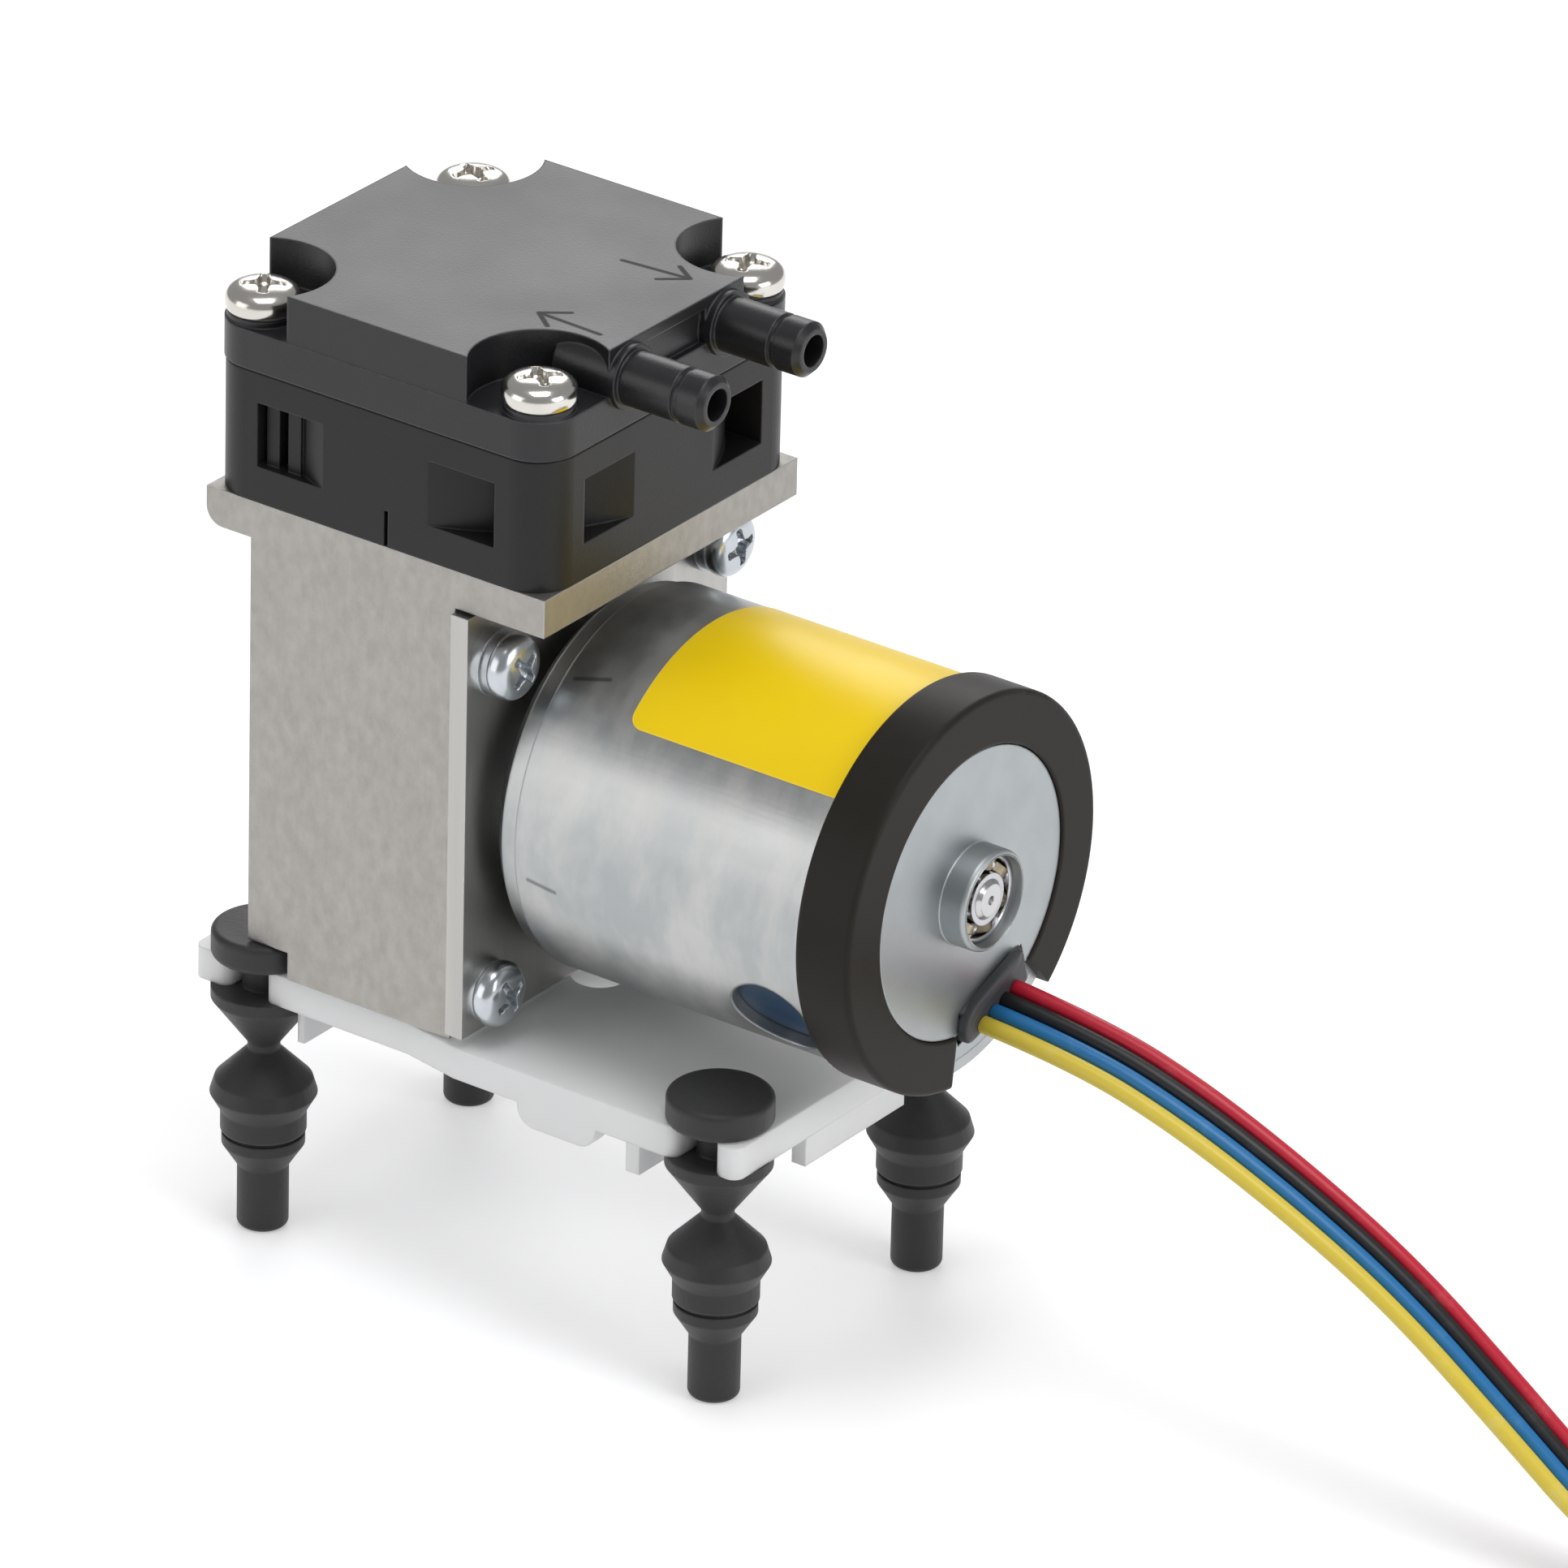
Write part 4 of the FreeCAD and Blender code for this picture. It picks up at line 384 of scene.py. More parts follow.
def spunSkin(profile, around):
    # a closed outline of x and radius, clockwise, swept right round the motor's axis
    outline = np.array(profile)
    points = aboutMotor(outline[:, 0], outline[:, 1], fullTurn(around)[:, None])
    index = np.arange(around * len(outline)).reshape(around, -1)
    ahead = np.roll(index, -1, axis=0)
    quads = np.stack([index, ahead, np.roll(ahead, -1, axis=1), np.roll(index, -1, axis=1)], axis=-1)
    return points.reshape(-1, 3), quads.reshape(-1, 4).tolist()


def ballSkin(radius, centre, rows=14, around=20):
    # r sin t (cos a, sin a) and r cos t over the ball's centre
    t = np.linspace(0.0, np.pi, rows + 2)[1:-1, None]
    rings = aboutZ(radius * np.sin(t), fullTurn(around)[None, :], radius * np.cos(t))
    points, faces = closedSkin(rings + centre)
    points[-2:] = centre + np.array([[0.0, 0.0, radius], [0.0, 0.0, -radius]])
    return points, faces


# open ball bearing in the motor's rear boss
rearBearing = dict(
    start=0.0269, end=0.0292, outer=0.003, flare=0.00033, race=0.00296, bevel=0.0001,
    balls=7, ball=0.00053, pitch=0.00246, ballPlane=0.02835,
    cageInner=0.00212, cageOuter=0.0028, cageFront=0.0289, cageWave=0.00035, cageThick=0.0005,
)


def makeRearBearing(values):
    # outer ring, balls on a pitch circle and a cage whose height waves once per ball: x = front - wave cos(n a)
    start, end, outer, race, bevel = (values[key] for key in ("start", "end", "outer", "race", "bevel"))
    wide = outer + values["flare"]
    ring = [
        (start, race), (start, outer - 0.2 * (outer - race)), (start + bevel, outer), (end - bevel, wide),
        (end, wide - bevel), (end, race + bevel), (end - bevel, race),
    ]
    centres = aboutMotor(values["ballPlane"], values["pitch"], fullTurn(values["balls"]))
    balls = [ballSkin(values["ball"], centre) for centre in centres]
    front, inner, outer = values["cageFront"], values["cageInner"], values["cageOuter"]
    back = front - values["cageThick"]
    points, faces = spunSkin([(back, inner), (back, outer), (front, outer), (front, inner)], 180)
    angle = np.arctan2(points[:, 2] - axisHeight, points[:, 1])
    points[:, 0] -= values["cageWave"] * np.cos(values["balls"] * angle)
    return [
        setPiece("rearRaceRing", [spunSkin(ring, 96)] + balls, "root", "bearing_steel", "rear_bearing_outer"),
        setPiece("rearBallCage", [(points, faces)], "root", "turned_brass"),
    ]


# shaft with bevelled ends and a centre mark in its rear end
shaftForm = dict(
    front=-0.0167, rear=0.0297, radius=0.0015, bevel=0.0003, around=96,
    mark=0.00034, markDepth=0.0009, markTip=0.25,
)


def makeShaft(values):
    # rings of x and radius along the motor's axis, run round backwards so that they face out
    front, rear, radius, bevel, mark = (values[key] for key in ("front", "rear", "radius", "bevel", "mark"))
    profile = np.array([
        (front, radius - bevel), (front + bevel, radius), (rear - bevel, radius), (rear, radius - bevel),
        (rear, mark), (rear - values["markDepth"], values["markTip"] * mark),
    ])
    rings = aboutMotor(profile[:, :1], profile[:, 1:], -fullTurn(values["around"])[None, :])
    return setPiece("shaftRod", [closedSkin(rings)], "rotor", "shaft_steel", "motor_shaft", sharp=25.0)


# rear cap whose boss opens towards its mouth
bossMouth = dict(was=0.00301, now=0.0035, beyond=0.0298, slack=0.00004)


def openBoss(values):
    # the points of the mouth's edge go out to the new radius: (y, z) times now / was about the axis
    source = nodes["motor_end_cap"].data
    points = np.empty(len(source.vertices) * 3)
    source.vertices.foreach_get("co", points)
    points = points.reshape(-1, 3)
    axis = np.array([0.0, axisHeight])
    away = points[:, 1:] - axis
    radius = np.linalg.norm(away, axis=1)
    mouth = (np.abs(radius - values["was"]) < values["slack"]) & (points[:, 0] > values["beyond"])
    points[mouth, 1:] = axis + away[mouth] * (values["now"] / radius[mouth])[:, None]
    faces = [list(face.vertices) for face in source.polygons]
    print("boss mouth points:", int(mouth.sum()))
    return setPiece("rearCap", [(points, faces)], "root", "zinc_cap", "motor_end_cap", sharp=30.0)


# moulded lead outlet: a rounded block with a rail along its inner side that turns round the yellow lead
outletForm = dict(
    angle=-71.0, near=0.0081, far=0.01165, half=0.0038, base=0.02605, top=0.02822,
    round=0.0004, roundRows=7, around=120, squareness=0.16,
    rail=[
        (0.0084, 0.0033), (0.00845, 0.0012), (0.0085, -0.0012), (0.0086, -0.0028),
        (0.009, -0.0037), (0.0098, -0.0041), (0.0108, -0.00395),
    ],
    railHalf=(0.00048, 0.00046), railHeight=0.02835, railRows=40, railAround=32,
    railSquareness=0.5, railSmoothing=6, railTip=3.0, railBlunt=0.15,
)


def squircle(count, first, second, power):
    # a rounded rectangle: (|cos b|^p, |sin b|^p) with their signs
    b = fullTurn(count)
    return [
        half * np.sign(wave) * np.abs(wave) ** power for half, wave in ((first, np.cos(b)), (second, np.sin(b)))
    ]


def makeOutlet(values):
    # the block's rows shrink by a quarter round at the top, and the rail is a rounded bar along its line
    turn = math.radians(values["angle"])
    forward = np.array([1.0, 0.0, 0.0])
    radial = np.array([0.0, math.cos(turn), math.sin(turn)])
    sideways = np.array([0.0, -math.sin(turn), math.cos(turn)])
    origin = np.array([0.0, 0.0, axisHeight])
    near, far = values["near"], values["far"]
    bend = np.linspace(0.0, 0.5 * np.pi, values["roundRows"])
    heights = [values["base"], *(values["top"] - values["round"] * (1.0 - np.sin(bend)))]
    shrink = [0.0, *(values["round"] * (1.0 - np.cos(bend)))]
    rows = []
    for height, less in zip(heights[::-1], shrink[::-1]):
        first, second = squircle(
            values["around"], 0.5 * (far - near) - less, values["half"] - less, values["squareness"],
        )
        middle = origin + height * forward
        rows.append(middle + np.outer(first + 0.5 * (far + near), radial) + np.outer(second, sideways))
    path = np.array(values["rail"])
    count = values["railRows"]
    steps = np.linspace(0.0, len(path) - 1.0, count)
    line = np.stack([np.interp(steps, np.arange(len(path)), path[:, k]) for k in (0, 1)], axis=-1)
    for _ in range(values["railSmoothing"]):
        line[1:-1] = 0.5 * line[1:-1] + 0.25 * (line[:-2] + line[2:])
    run = np.gradient(line, axis=0)
    run /= np.linalg.norm(run, axis=1)[:, None]
    fromEnd = np.minimum(np.arange(count), np.arange(count)[::-1])
    sizes = np.sqrt(np.clip(fromEnd / values["railTip"], values["railBlunt"], 1.0))
    first, second = squircle(values["railAround"], *values["railHalf"], values["railSquareness"])
    rings = []
    for place, ahead, size in zip(line, run, sizes):
        across = ahead[1] * radial - ahead[0] * sideways
        centre = origin + place[0] * radial + place[1] * sideways + values["railHeight"] * forward
        rings.append(centre + size * (np.outer(first, across) + np.outer(second, forward)))
    skins = [closedSkin(np.array(rows)), closedSkin(np.array(rings))]
    return setPiece("outletBlock", skins, "root", "outlet_plastic", "wire_outlet", sharp=50.0)


motorPieces = makeRearBearing(rearBearing) + [
    makeSticker(sticker), makeShaft(shaftForm), openBoss(bossMouth), makeOutlet(outletForm),
]
print("motor pieces made")


def feed(tree, socket, value):
    # an input gets another node's output or a plain value
    if isinstance(value, bpy.types.NodeSocket):
        tree.links.new(value, socket)
    else:
        socket.default_value = value


def put(tree, kind, inputs, **settings):
    # one node, with its settings first and then its inputs
    made = tree.nodes.new(kind)
    for name, value in settings.items():
        setattr(made, name, value)
    for name, value in inputs.items():
        feed(tree, made.inputs[name], value)
    return made


def useGroup(tree, group, **inputs):
    return put(tree, "ShaderNodeGroup", inputs, node_tree=group).outputs


def reckon(tree, operation, first, second=0.0, clamp=False):
    return put(tree, "ShaderNodeMath", {0: first, 1: second}, operation=operation, use_clamp=clamp).outputs[0]


def times(tree, first, second, clamp=False):
    return reckon(tree, "MULTIPLY", first, second, clamp)


def vector(tree, operation, first, second=(0.0, 0.0, 0.0), result=0):
    return put(tree, "ShaderNodeVectorMath", {0: first, 1: second}, operation=operation).outputs[result]


def between(tree, mask, first, second):
    # colours: first where the mask is 0 and second where it is 1, each a socket or red, green and blue
    first, second = (
        colour if isinstance(colour, bpy.types.NodeSocket) else (*colour, 1.0) for colour in (first, second)
    )
    return put(tree, "ShaderNodeMix", {0: mask, 6: first, 7: second}, data_type="RGBA").outputs[2]


def ramp(tree, value, low, high, first=0.0, second=1.0):
    # a number that goes from first to second as the value goes from low to high
    limits = {"From Min": low, "From Max": high, "To Min": first, "To Max": second}
    return put(tree, "ShaderNodeMapRange", {"Value": value, **limits}).outputs["Result"]


def level(tree, mask, first, second):
    return ramp(tree, mask, 0.0, 1.0, first, second)


def objectPlace(tree):
    return put(tree, "ShaderNodeTexCoord", {}).outputs["Object"]


def noise(tree, place, scale, detail, rough=0.5, distortion=0.0):
    inputs = {"Vector": place, "Scale": scale, "Detail": detail, "Roughness": rough, "Distortion": distortion}
    return put(tree, "ShaderNodeTexNoise", inputs).outputs["Fac"]


def bump(tree, height, strength, distance, normal=None):
    inputs = {"Height": height, "Strength": strength, "Distance": distance}
    if normal is not None:
        inputs["Normal"] = normal
    return put(tree, "ShaderNodeBump", inputs).outputs[0]


def newGroup(name, inputs, outputs):
    # a group with its sockets: vectors where the value is a tuple, and numbers elsewhere
    group = bpy.data.node_groups.new(name, "ShaderNodeTree")
    for way, sockets in (("INPUT", inputs), ("OUTPUT", outputs)):
        for label, value in sockets.items():
            kind = "NodeSocketVector" if isinstance(value, tuple) else "NodeSocketFloat"
            group.interface.new_socket(label, in_out=way, socket_type=kind).default_value = value
    return group, group.nodes.new("NodeGroupInput").outputs, group.nodes.new("NodeGroupOutput").inputs


def makeWornAndLitEdges():
    # wear and painted highlight: how far a softened normal turns from the true one, broken up by noise; the
    # finishes paint their paler edge colour there, partly as rubbed wear and partly as a painted highlight on
    # edges and creases
    group, given, wanted = newGroup(
        "wornAndLitEdges", {"Radius": 0.0002, "Strength": 3.0, "Spots": 1500.0},
        {"WearAndShine": 0.0, "Soft": (0.0, 0.0, 0.0)},
    )
    soft = put(group, "ShaderNodeBevel", {"Radius": given["Radius"]}, samples=4).outputs[0]
    true = put(group, "ShaderNodeNewGeometry", {}).outputs["Normal"]
    turned = reckon(group, "SUBTRACT", 1.0, vector(group, "DOT_PRODUCT", soft, true, "Value"))
    broken = level(group, noise(group, objectPlace(group), given["Spots"], 3.0), 0.2, 1.5)
    edgeWearAndShine = times(group, times(group, turned, given["Strength"]), broken, clamp=True)
    group.links.new(edgeWearAndShine, wanted["WearAndShine"])
    group.links.new(soft, wanted["Soft"])
    return group


def makeMouldGrain():
    # height: fine noise over rounded cells, as a spark-eroded mould leaves; patches: slow change of gloss
    group, given, wanted = newGroup(
        "mouldGrain", {"Scale": 5000.0, "Patch": 120.0}, {"Height": 0.0, "Patches": 0.0},
    )
    place = objectPlace(group)
    fine = noise(group, place, given["Scale"], 4.0, 0.6)
    cells = put(group, "ShaderNodeTexVoronoi", {"Vector": place, "Scale": given["Scale"]}, feature="SMOOTH_F1")
    height = reckon(group, "ADD", times(group, fine, 0.7), times(group, cells.outputs["Distance"], 0.3))
    slow = noise(group, place, given["Patch"], 5.0, 0.55)
    group.links.new(height, wanted["Height"])
    group.links.new(level(group, slow, -0.3, 1.3), wanted["Patches"])
    return group


def makeDrawnLines():
    # noise squeezed across one direction and stretched along it, as a brush or a die leaves
    group, given, wanted = newGroup(
        "drawnLines", {"Stretch": (1.0, 1.0, 1.0), "Scale": 3000.0}, {"Height": 0.0, "Streaks": 0.0},
    )
    pulled = vector(group, "MULTIPLY", objectPlace(group), given["Stretch"])
    fine = noise(group, pulled, given["Scale"], 5.0, 0.65)
    wide = noise(group, pulled, times(group, given["Scale"], 0.13), 3.0)
    group.links.new(fine, wanted["Height"])
    group.links.new(level(group, wide, -0.4, 1.4), wanted["Streaks"])
    return group


# two thin arrows by the hose ports, on the cover's top: strokes in metres, only above the given height
flowArrows = dict(
    strokes=[
        ((-0.0008, -0.0062), (-0.0063, -0.0060)), ((-0.0063, -0.0060), (-0.0045, -0.0046)),
        ((-0.0063, -0.0060), (-0.0045, -0.0074)), ((-0.0070, 0.0047), (-0.0014, 0.0052)),
        ((-0.0014, 0.0052), (-0.0032, 0.0064)), ((-0.0014, 0.0052), (-0.0032, 0.0037)),
    ],
    half=0.00015, fade=0.00012, above=0.0755, tone=0.85, dent=-0.8,
)
# short stake dents on the can's front band, painted dark as shade in the dents: strokes in metres along the
# axis and round the can
stakeLines = dict(
    strokes=[
        ((-0.0003, -0.0429), (0.0020, -0.0426)), ((-0.0005, 0.0321), (0.0021, 0.0313)),
        ((-0.0004, 0.0021), (0.0020, 0.0018)), ((-0.0004, -0.0128), (0.0021, -0.0131)),
    ],
    half=0.00006, fade=0.0002, radius=0.0144, tone=0.6, dent=-0.7,
)


def makeStrokes(name, values):
    # mask: 1 where the distance to the nearest stroke is under the half width
    group, given, wanted = newGroup(name, {"Place": (0.0, 0.0, 0.0)}, {"Mask": 0.0})
    flat = vector(group, "MULTIPLY", given["Place"], (1.0, 1.0, 0.0))
    nearest = None
    for start, end in values["strokes"]:
        run = (end[0] - start[0], end[1] - start[1], 0.0)
        off = vector(group, "SUBTRACT", flat, (*start, 0.0))
        along = vector(group, "DOT_PRODUCT", off, run, "Value")
        share = times(group, along, 1.0 / (run[0] ** 2 + run[1] ** 2), clamp=True)
        foot = put(group, "ShaderNodeVectorMath", {0: run, "Scale": share}, operation="SCALE").outputs[0]
        gap = vector(group, "DISTANCE", off, foot, "Value")
        nearest = gap if nearest is None else reckon(group, "MINIMUM", nearest, gap)
    mask = ramp(group, nearest, values["half"], values["half"] + values["fade"], 1.0, 0.0)
    group.links.new(mask, wanted["Mask"])
    return group


wornAndLitEdges = makeWornAndLitEdges()
mouldGrain = makeMouldGrain()
drawnLines = makeDrawnLines()
arrowMark = makeStrokes("flowArrows", flowArrows)
stakeMark = makeStrokes("stakeLines", stakeLines)
print("shader groups built")


def newFinish(name):
    material = bpy.data.materials.new(name)
    material.use_nodes = True
    return material, material.node_tree


def mixFinish(name, make, values):
    # a material whose maker gives the shader's inputs by name, with their spaces left out
    material, tree = newFinish(name)
    named = {socket.name.replace(" ", ""): socket for socket in tree.nodes["Principled BSDF"].inputs}
    for label, value in make(tree, values).items():
        feed(tree, named[label], value)
    return material


def texture(tree, values):
    # the two groups that most finishes share: rubbed edges with their painted highlight, and mould grain
    edgeWearAndShine = useGroup(tree, wornAndLitEdges, Radius=values["round"], Strength=values["rub"])
    return edgeWearAndShine, useGroup(tree, mouldGrain, Scale=values["grain"], Patch=values["patch"])


def rubbedAndLitTone(tree, edgeWearAndShine, grain, values):
    # colour to shade by patches, and the paler edge colour where the edge is rubbed, partly wear and partly a
    # painted highlight
    varied = between(tree, grain["Patches"], values["colour"], values["shade"])
    return between(tree, edgeWearAndShine["WearAndShine"], varied, values["edge"])


def roughness(tree, mask, values, under, over):
    # from rough - under to rough + over as the mask goes from 0 to 1
    return level(tree, mask, values["rough"] - under, values["rough"] + over)


def mouldedPlastic(tree, values):
    # grained thermoplastic, lightly rubbed and with a painted highlight on its edges: bump from the grain,
    # gloss from its patches
    edgeWearAndShine, grain = texture(tree, values)
    colour = rubbedAndLitTone(tree, edgeWearAndShine, grain, values)
    normal = bump(tree, grain["Height"], values["relief"], 0.00006, edgeWearAndShine["Soft"])
    sheen = values["sheen"]
    if "markColour" in values:
        # the flow arrows: dark, dull and a little sunk
        place = objectPlace(tree)
        height = put(tree, "ShaderNodeSeparateXYZ", {0: place}).outputs["Z"]
        onTop = reckon(tree, "GREATER_THAN", height, flowArrows["above"])
        mark = times(tree, useGroup(tree, arrowMark, Place=place)["Mask"], onTop)
        colour = between(tree, times(tree, mark, flowArrows["tone"]), colour, values["markColour"])
        normal = bump(tree, mark, flowArrows["dent"], 0.0002, normal)
        sheen = level(tree, mark, sheen, 0.1 * sheen)
    gloss = roughness(tree, grain["Patches"], values, 0.05, 0.06)
    given = dict(BaseColor=colour, Roughness=gloss, Normal=normal, SpecularIORLevel=sheen)
    if "depth" in values:
        given.update(SubsurfaceWeight=values["depth"], SubsurfaceRadius=(1.0, 1.0, 1.0), SubsurfaceScale=0.004)
    return given


def drawnMetal(tree, values):
    # bare or plated metal: streaks along one direction, a slow haze (painted shade on the bearing cage), paler
    # edges as rubbed wear and painted highlight, bump from the lines and the pits between
    edgeWearAndShine, grain = texture(tree, values)
    lines = useGroup(tree, drawnLines, Stretch=values["stretch"], Scale=values["lines"])
    varied = between(tree, lines["Streaks"], values["colour"], values["shade"])
    # slow haze patches; the bearing cage's dark brown haze is painted shade
    clouded = between(tree, times(tree, grain["Patches"], values["cloud"]), varied, values["haze"])
    # paler edge colour: rubbed wear and a painted highlight
    colour = between(tree, edgeWearAndShine["WearAndShine"], clouded, values["edge"])
    height = reckon(tree, "ADD", lines["Height"], times(tree, grain["Height"], values["pitting"]))
    normal = bump(tree, height, values["relief"], 0.00005, edgeWearAndShine["Soft"])
    gloss = roughness(tree, lines["Streaks"], values, 0.05, 0.05)
    gloss = reckon(tree, "ADD", gloss, times(tree, grain["Patches"], values["dull"]))
    if "blotch" in values:
        # blotches longer round the can than along it, where noise passes between two levels
        place = vector(tree, "MULTIPLY", objectPlace(tree), (1.0, 0.45, 0.45))
        spot = ramp(tree, noise(tree, place, values["blotch"], 6.0, 0.6, 0.2), 0.42, 0.62)
        colour = between(tree, times(tree, spot, 0.5), colour, values["blotchColour"])
        gloss = reckon(tree, "ADD", gloss, times(tree, spot, 0.07))
    if "markColour" in values:
        # the stake lines, on the can unrolled to x and radius times angle: painted shade in their dents, and a
        # little sunk by bump
        apart = put(tree, "ShaderNodeSeparateXYZ", {0: objectPlace(tree)}).outputs
        turn = reckon(tree, "ARCTAN2", reckon(tree, "SUBTRACT", apart["Z"], axisHeight), apart["Y"])
        girth = times(tree, turn, stakeLines["radius"])
        flat = put(tree, "ShaderNodeCombineXYZ", {"X": apart["X"], "Y": girth}).outputs[0]
        mark = useGroup(tree, stakeMark, Place=flat)["Mask"]
        colour = between(tree, times(tree, mark, stakeLines["tone"]), colour, values["markColour"])
        normal = bump(tree, mark, stakeLines["dent"], 0.0002, normal)
    return dict(BaseColor=colour, Roughness=gloss, Metallic=values["metal"], Normal=normal)


def softRubber(tree, values):
    # matt rubber with a little bloom and a painted highlight on its raised edges
    edgeWearAndShine, grain = texture(tree, values)
    return dict(
        BaseColor=rubbedAndLitTone(tree, edgeWearAndShine, grain, values),
        Roughness=roughness(tree, grain["Patches"], values, 0.06, 0.08),
        Normal=bump(tree, grain["Height"], 0.35, 0.00008, edgeWearAndShine["Soft"]),
        SheenWeight=0.08, SheenRoughness=0.5, SpecularIORLevel=0.45,
    )


def ridgedMetal(tree, values):
    # sheets of a stack or turns of wire: ridge = (1 + sin(2 pi s / pitch)) / 2, with s along the motor's axis
    # or out from it
    edgeWearAndShine, grain = texture(tree, values)
    place = objectPlace(tree)
    if values["radial"]:
        centred = vector(tree, "SUBTRACT", place, (0.0, 0.0, axisHeight))
        across = vector(tree, "LENGTH", vector(tree, "MULTIPLY", centred, (0.0, 1.0, 1.0)), result="Value")
    else:
        across = put(tree, "ShaderNodeSeparateXYZ", {0: place}).outputs["X"]
    wave = reckon(tree, "SINE", times(tree, across, 2.0 * math.pi / values["pitch"]))
    ridge = reckon(tree, "ADD", times(tree, wave, 0.5), 0.5)
    # darker towards the gaps: dark joints between the stack's sheets, and painted shade in the creases between
    # turns of wire
    varied = between(tree, ridge, values["gap"], values["colour"])
    height = reckon(tree, "ADD", ridge, times(tree, grain["Height"], 0.15))
    return dict(
        BaseColor=between(tree, times(tree, grain["Patches"], 0.4), varied, values["shade"]),
        Roughness=roughness(tree, ridge, values, -0.15, 0.0), Metallic=values["metal"],
        Normal=bump(tree, height, 0.7, values["pitch"] * 0.3, edgeWearAndShine["Soft"]),
    )


def circuitBoard(tree, values):
    # green lacquer over copper tracks, bright where the lacquer is open: lines by the distance to a cell's edge
    cells = {"Vector": objectPlace(tree), "Scale": values["cells"], "Randomness": values["random"]}
    edges = put(tree, "ShaderNodeTexVoronoi", cells, feature="DISTANCE_TO_EDGE")
    line = ramp(tree, edges.outputs["Distance"], 0.06, 0.09, 1.0, 0.0)
    pad = ramp(tree, put(tree, "ShaderNodeTexVoronoi", cells).outputs["Distance"], 0.16, 0.19, 1.0, 0.0)
    grain = useGroup(tree, mouldGrain)
    tinted = between(tree, line, values["colour"], values["track"])
    height = reckon(tree, "ADD", line, times(tree, grain["Height"], 0.1))
    return dict(
        BaseColor=between(tree, pad, tinted, values["pad"]), Metallic=pad,
        Roughness=roughness(tree, grain["Patches"], values, 0.0, 0.12), Normal=bump(tree, height, 0.5, 0.00004),
    )


def stickerVinyl(tree, values):
    # flat film: even colour, faint orange peel, paler where its cut edge catches the light
    edgeWearAndShine, grain = texture(tree, values)
    return dict(
        BaseColor=rubbedAndLitTone(tree, edgeWearAndShine, grain, values), SpecularIORLevel=0.4,
        Roughness=roughness(tree, grain["Patches"], values, 0.04, 0.05),
        Normal=bump(tree, grain["Height"], 0.12, 0.00005),
    )


def leadJacket(tree, values):
    # soft plastic jacket with faint draw lines along the lead, and scuffs
    place = objectPlace(tree)
    lines = noise(tree, vector(tree, "MULTIPLY", place, (0.12, 1.0, 1.0)), 4200.0, 3.0)
    scuffs = noise(tree, place, 380.0, 6.0, 0.7)
    return dict(
        BaseColor=between(tree, ramp(tree, scuffs, 0.55, 0.75, 0.0, 0.5), values["colour"], values["scuff"]),
        Roughness=roughness(tree, scuffs, values, 0.08, 0.12), Normal=bump(tree, lines, 0.25, 0.00004),
        SpecularIORLevel=0.5,
    )


# values of each finish: linear colours, edge rounding in metres and noise scales per metre; the edge colours
# are rubbed wear together with a painted highlight
plasticForm = dict(round=0.0002, grain=5200.0)
plastics = {
    "black_plastic_cover": dict(
        colour=(0.012, 0.0125, 0.0135), shade=(0.019, 0.0195, 0.021), edge=(0.13, 0.135, 0.145),
        round=0.00022, rub=2.2, patch=110.0, relief=0.3, rough=0.34, sheen=0.45,
        markColour=(0.012, 0.013, 0.015),
    ),
    "black_plastic": dict(
        colour=(0.011, 0.011, 0.011), shade=(0.017, 0.017, 0.0165), edge=(0.085, 0.085, 0.082),
        rub=2.0, patch=140.0, relief=0.22, rough=0.38, sheen=0.3,
    ),
    "rod_plastic": dict(
        colour=(0.16, 0.16, 0.17), shade=(0.2, 0.2, 0.21), edge=(0.3, 0.3, 0.31), grain=4200.0,
        rub=1.5, patch=150.0, relief=0.25, rough=0.48, sheen=0.5,
    ),
    "ring_plastic": dict(
        colour=(0.017, 0.015, 0.0125), shade=(0.025, 0.022, 0.0185), edge=(0.1, 0.095, 0.085),
        round=0.0003, rub=1.6, grain=4600.0, patch=120.0, relief=0.12, rough=0.42, sheen=0.12,
    ),
    "nylon_white": dict(
        colour=(0.89, 0.895, 0.89), shade=(0.84, 0.85, 0.85), edge=(0.92, 0.93, 0.94), round=0.00025,
        rub=1.2, grain=3600.0, patch=90.0, relief=0.15, rough=0.42, sheen=0.45,
        depth=0.5,
    ),
    "outlet_plastic": dict(
        colour=(0.05, 0.051, 0.055), shade=(0.065, 0.065, 0.07), edge=(0.12, 0.12, 0.125),
        round=0.00015, rub=1.4, patch=200.0, relief=0.3, rough=0.5, sheen=0.4,
    ),
    "insulator_blue": dict(
        colour=(0.012, 0.036, 0.075), shade=(0.018, 0.05, 0.1), edge=(0.06, 0.1, 0.18),
        rub=1.4, grain=4200.0, patch=160.0, relief=0.2, rough=0.45, sheen=0.5,
    ),
}
metalForm = dict(
    round=0.0001, stretch=(1.0, 1.0, 1.0), lines=5200.0, grain=3600.0, cloud=0.4, pitting=0.25,
    relief=0.3, dull=0.06, metal=1.0,
)
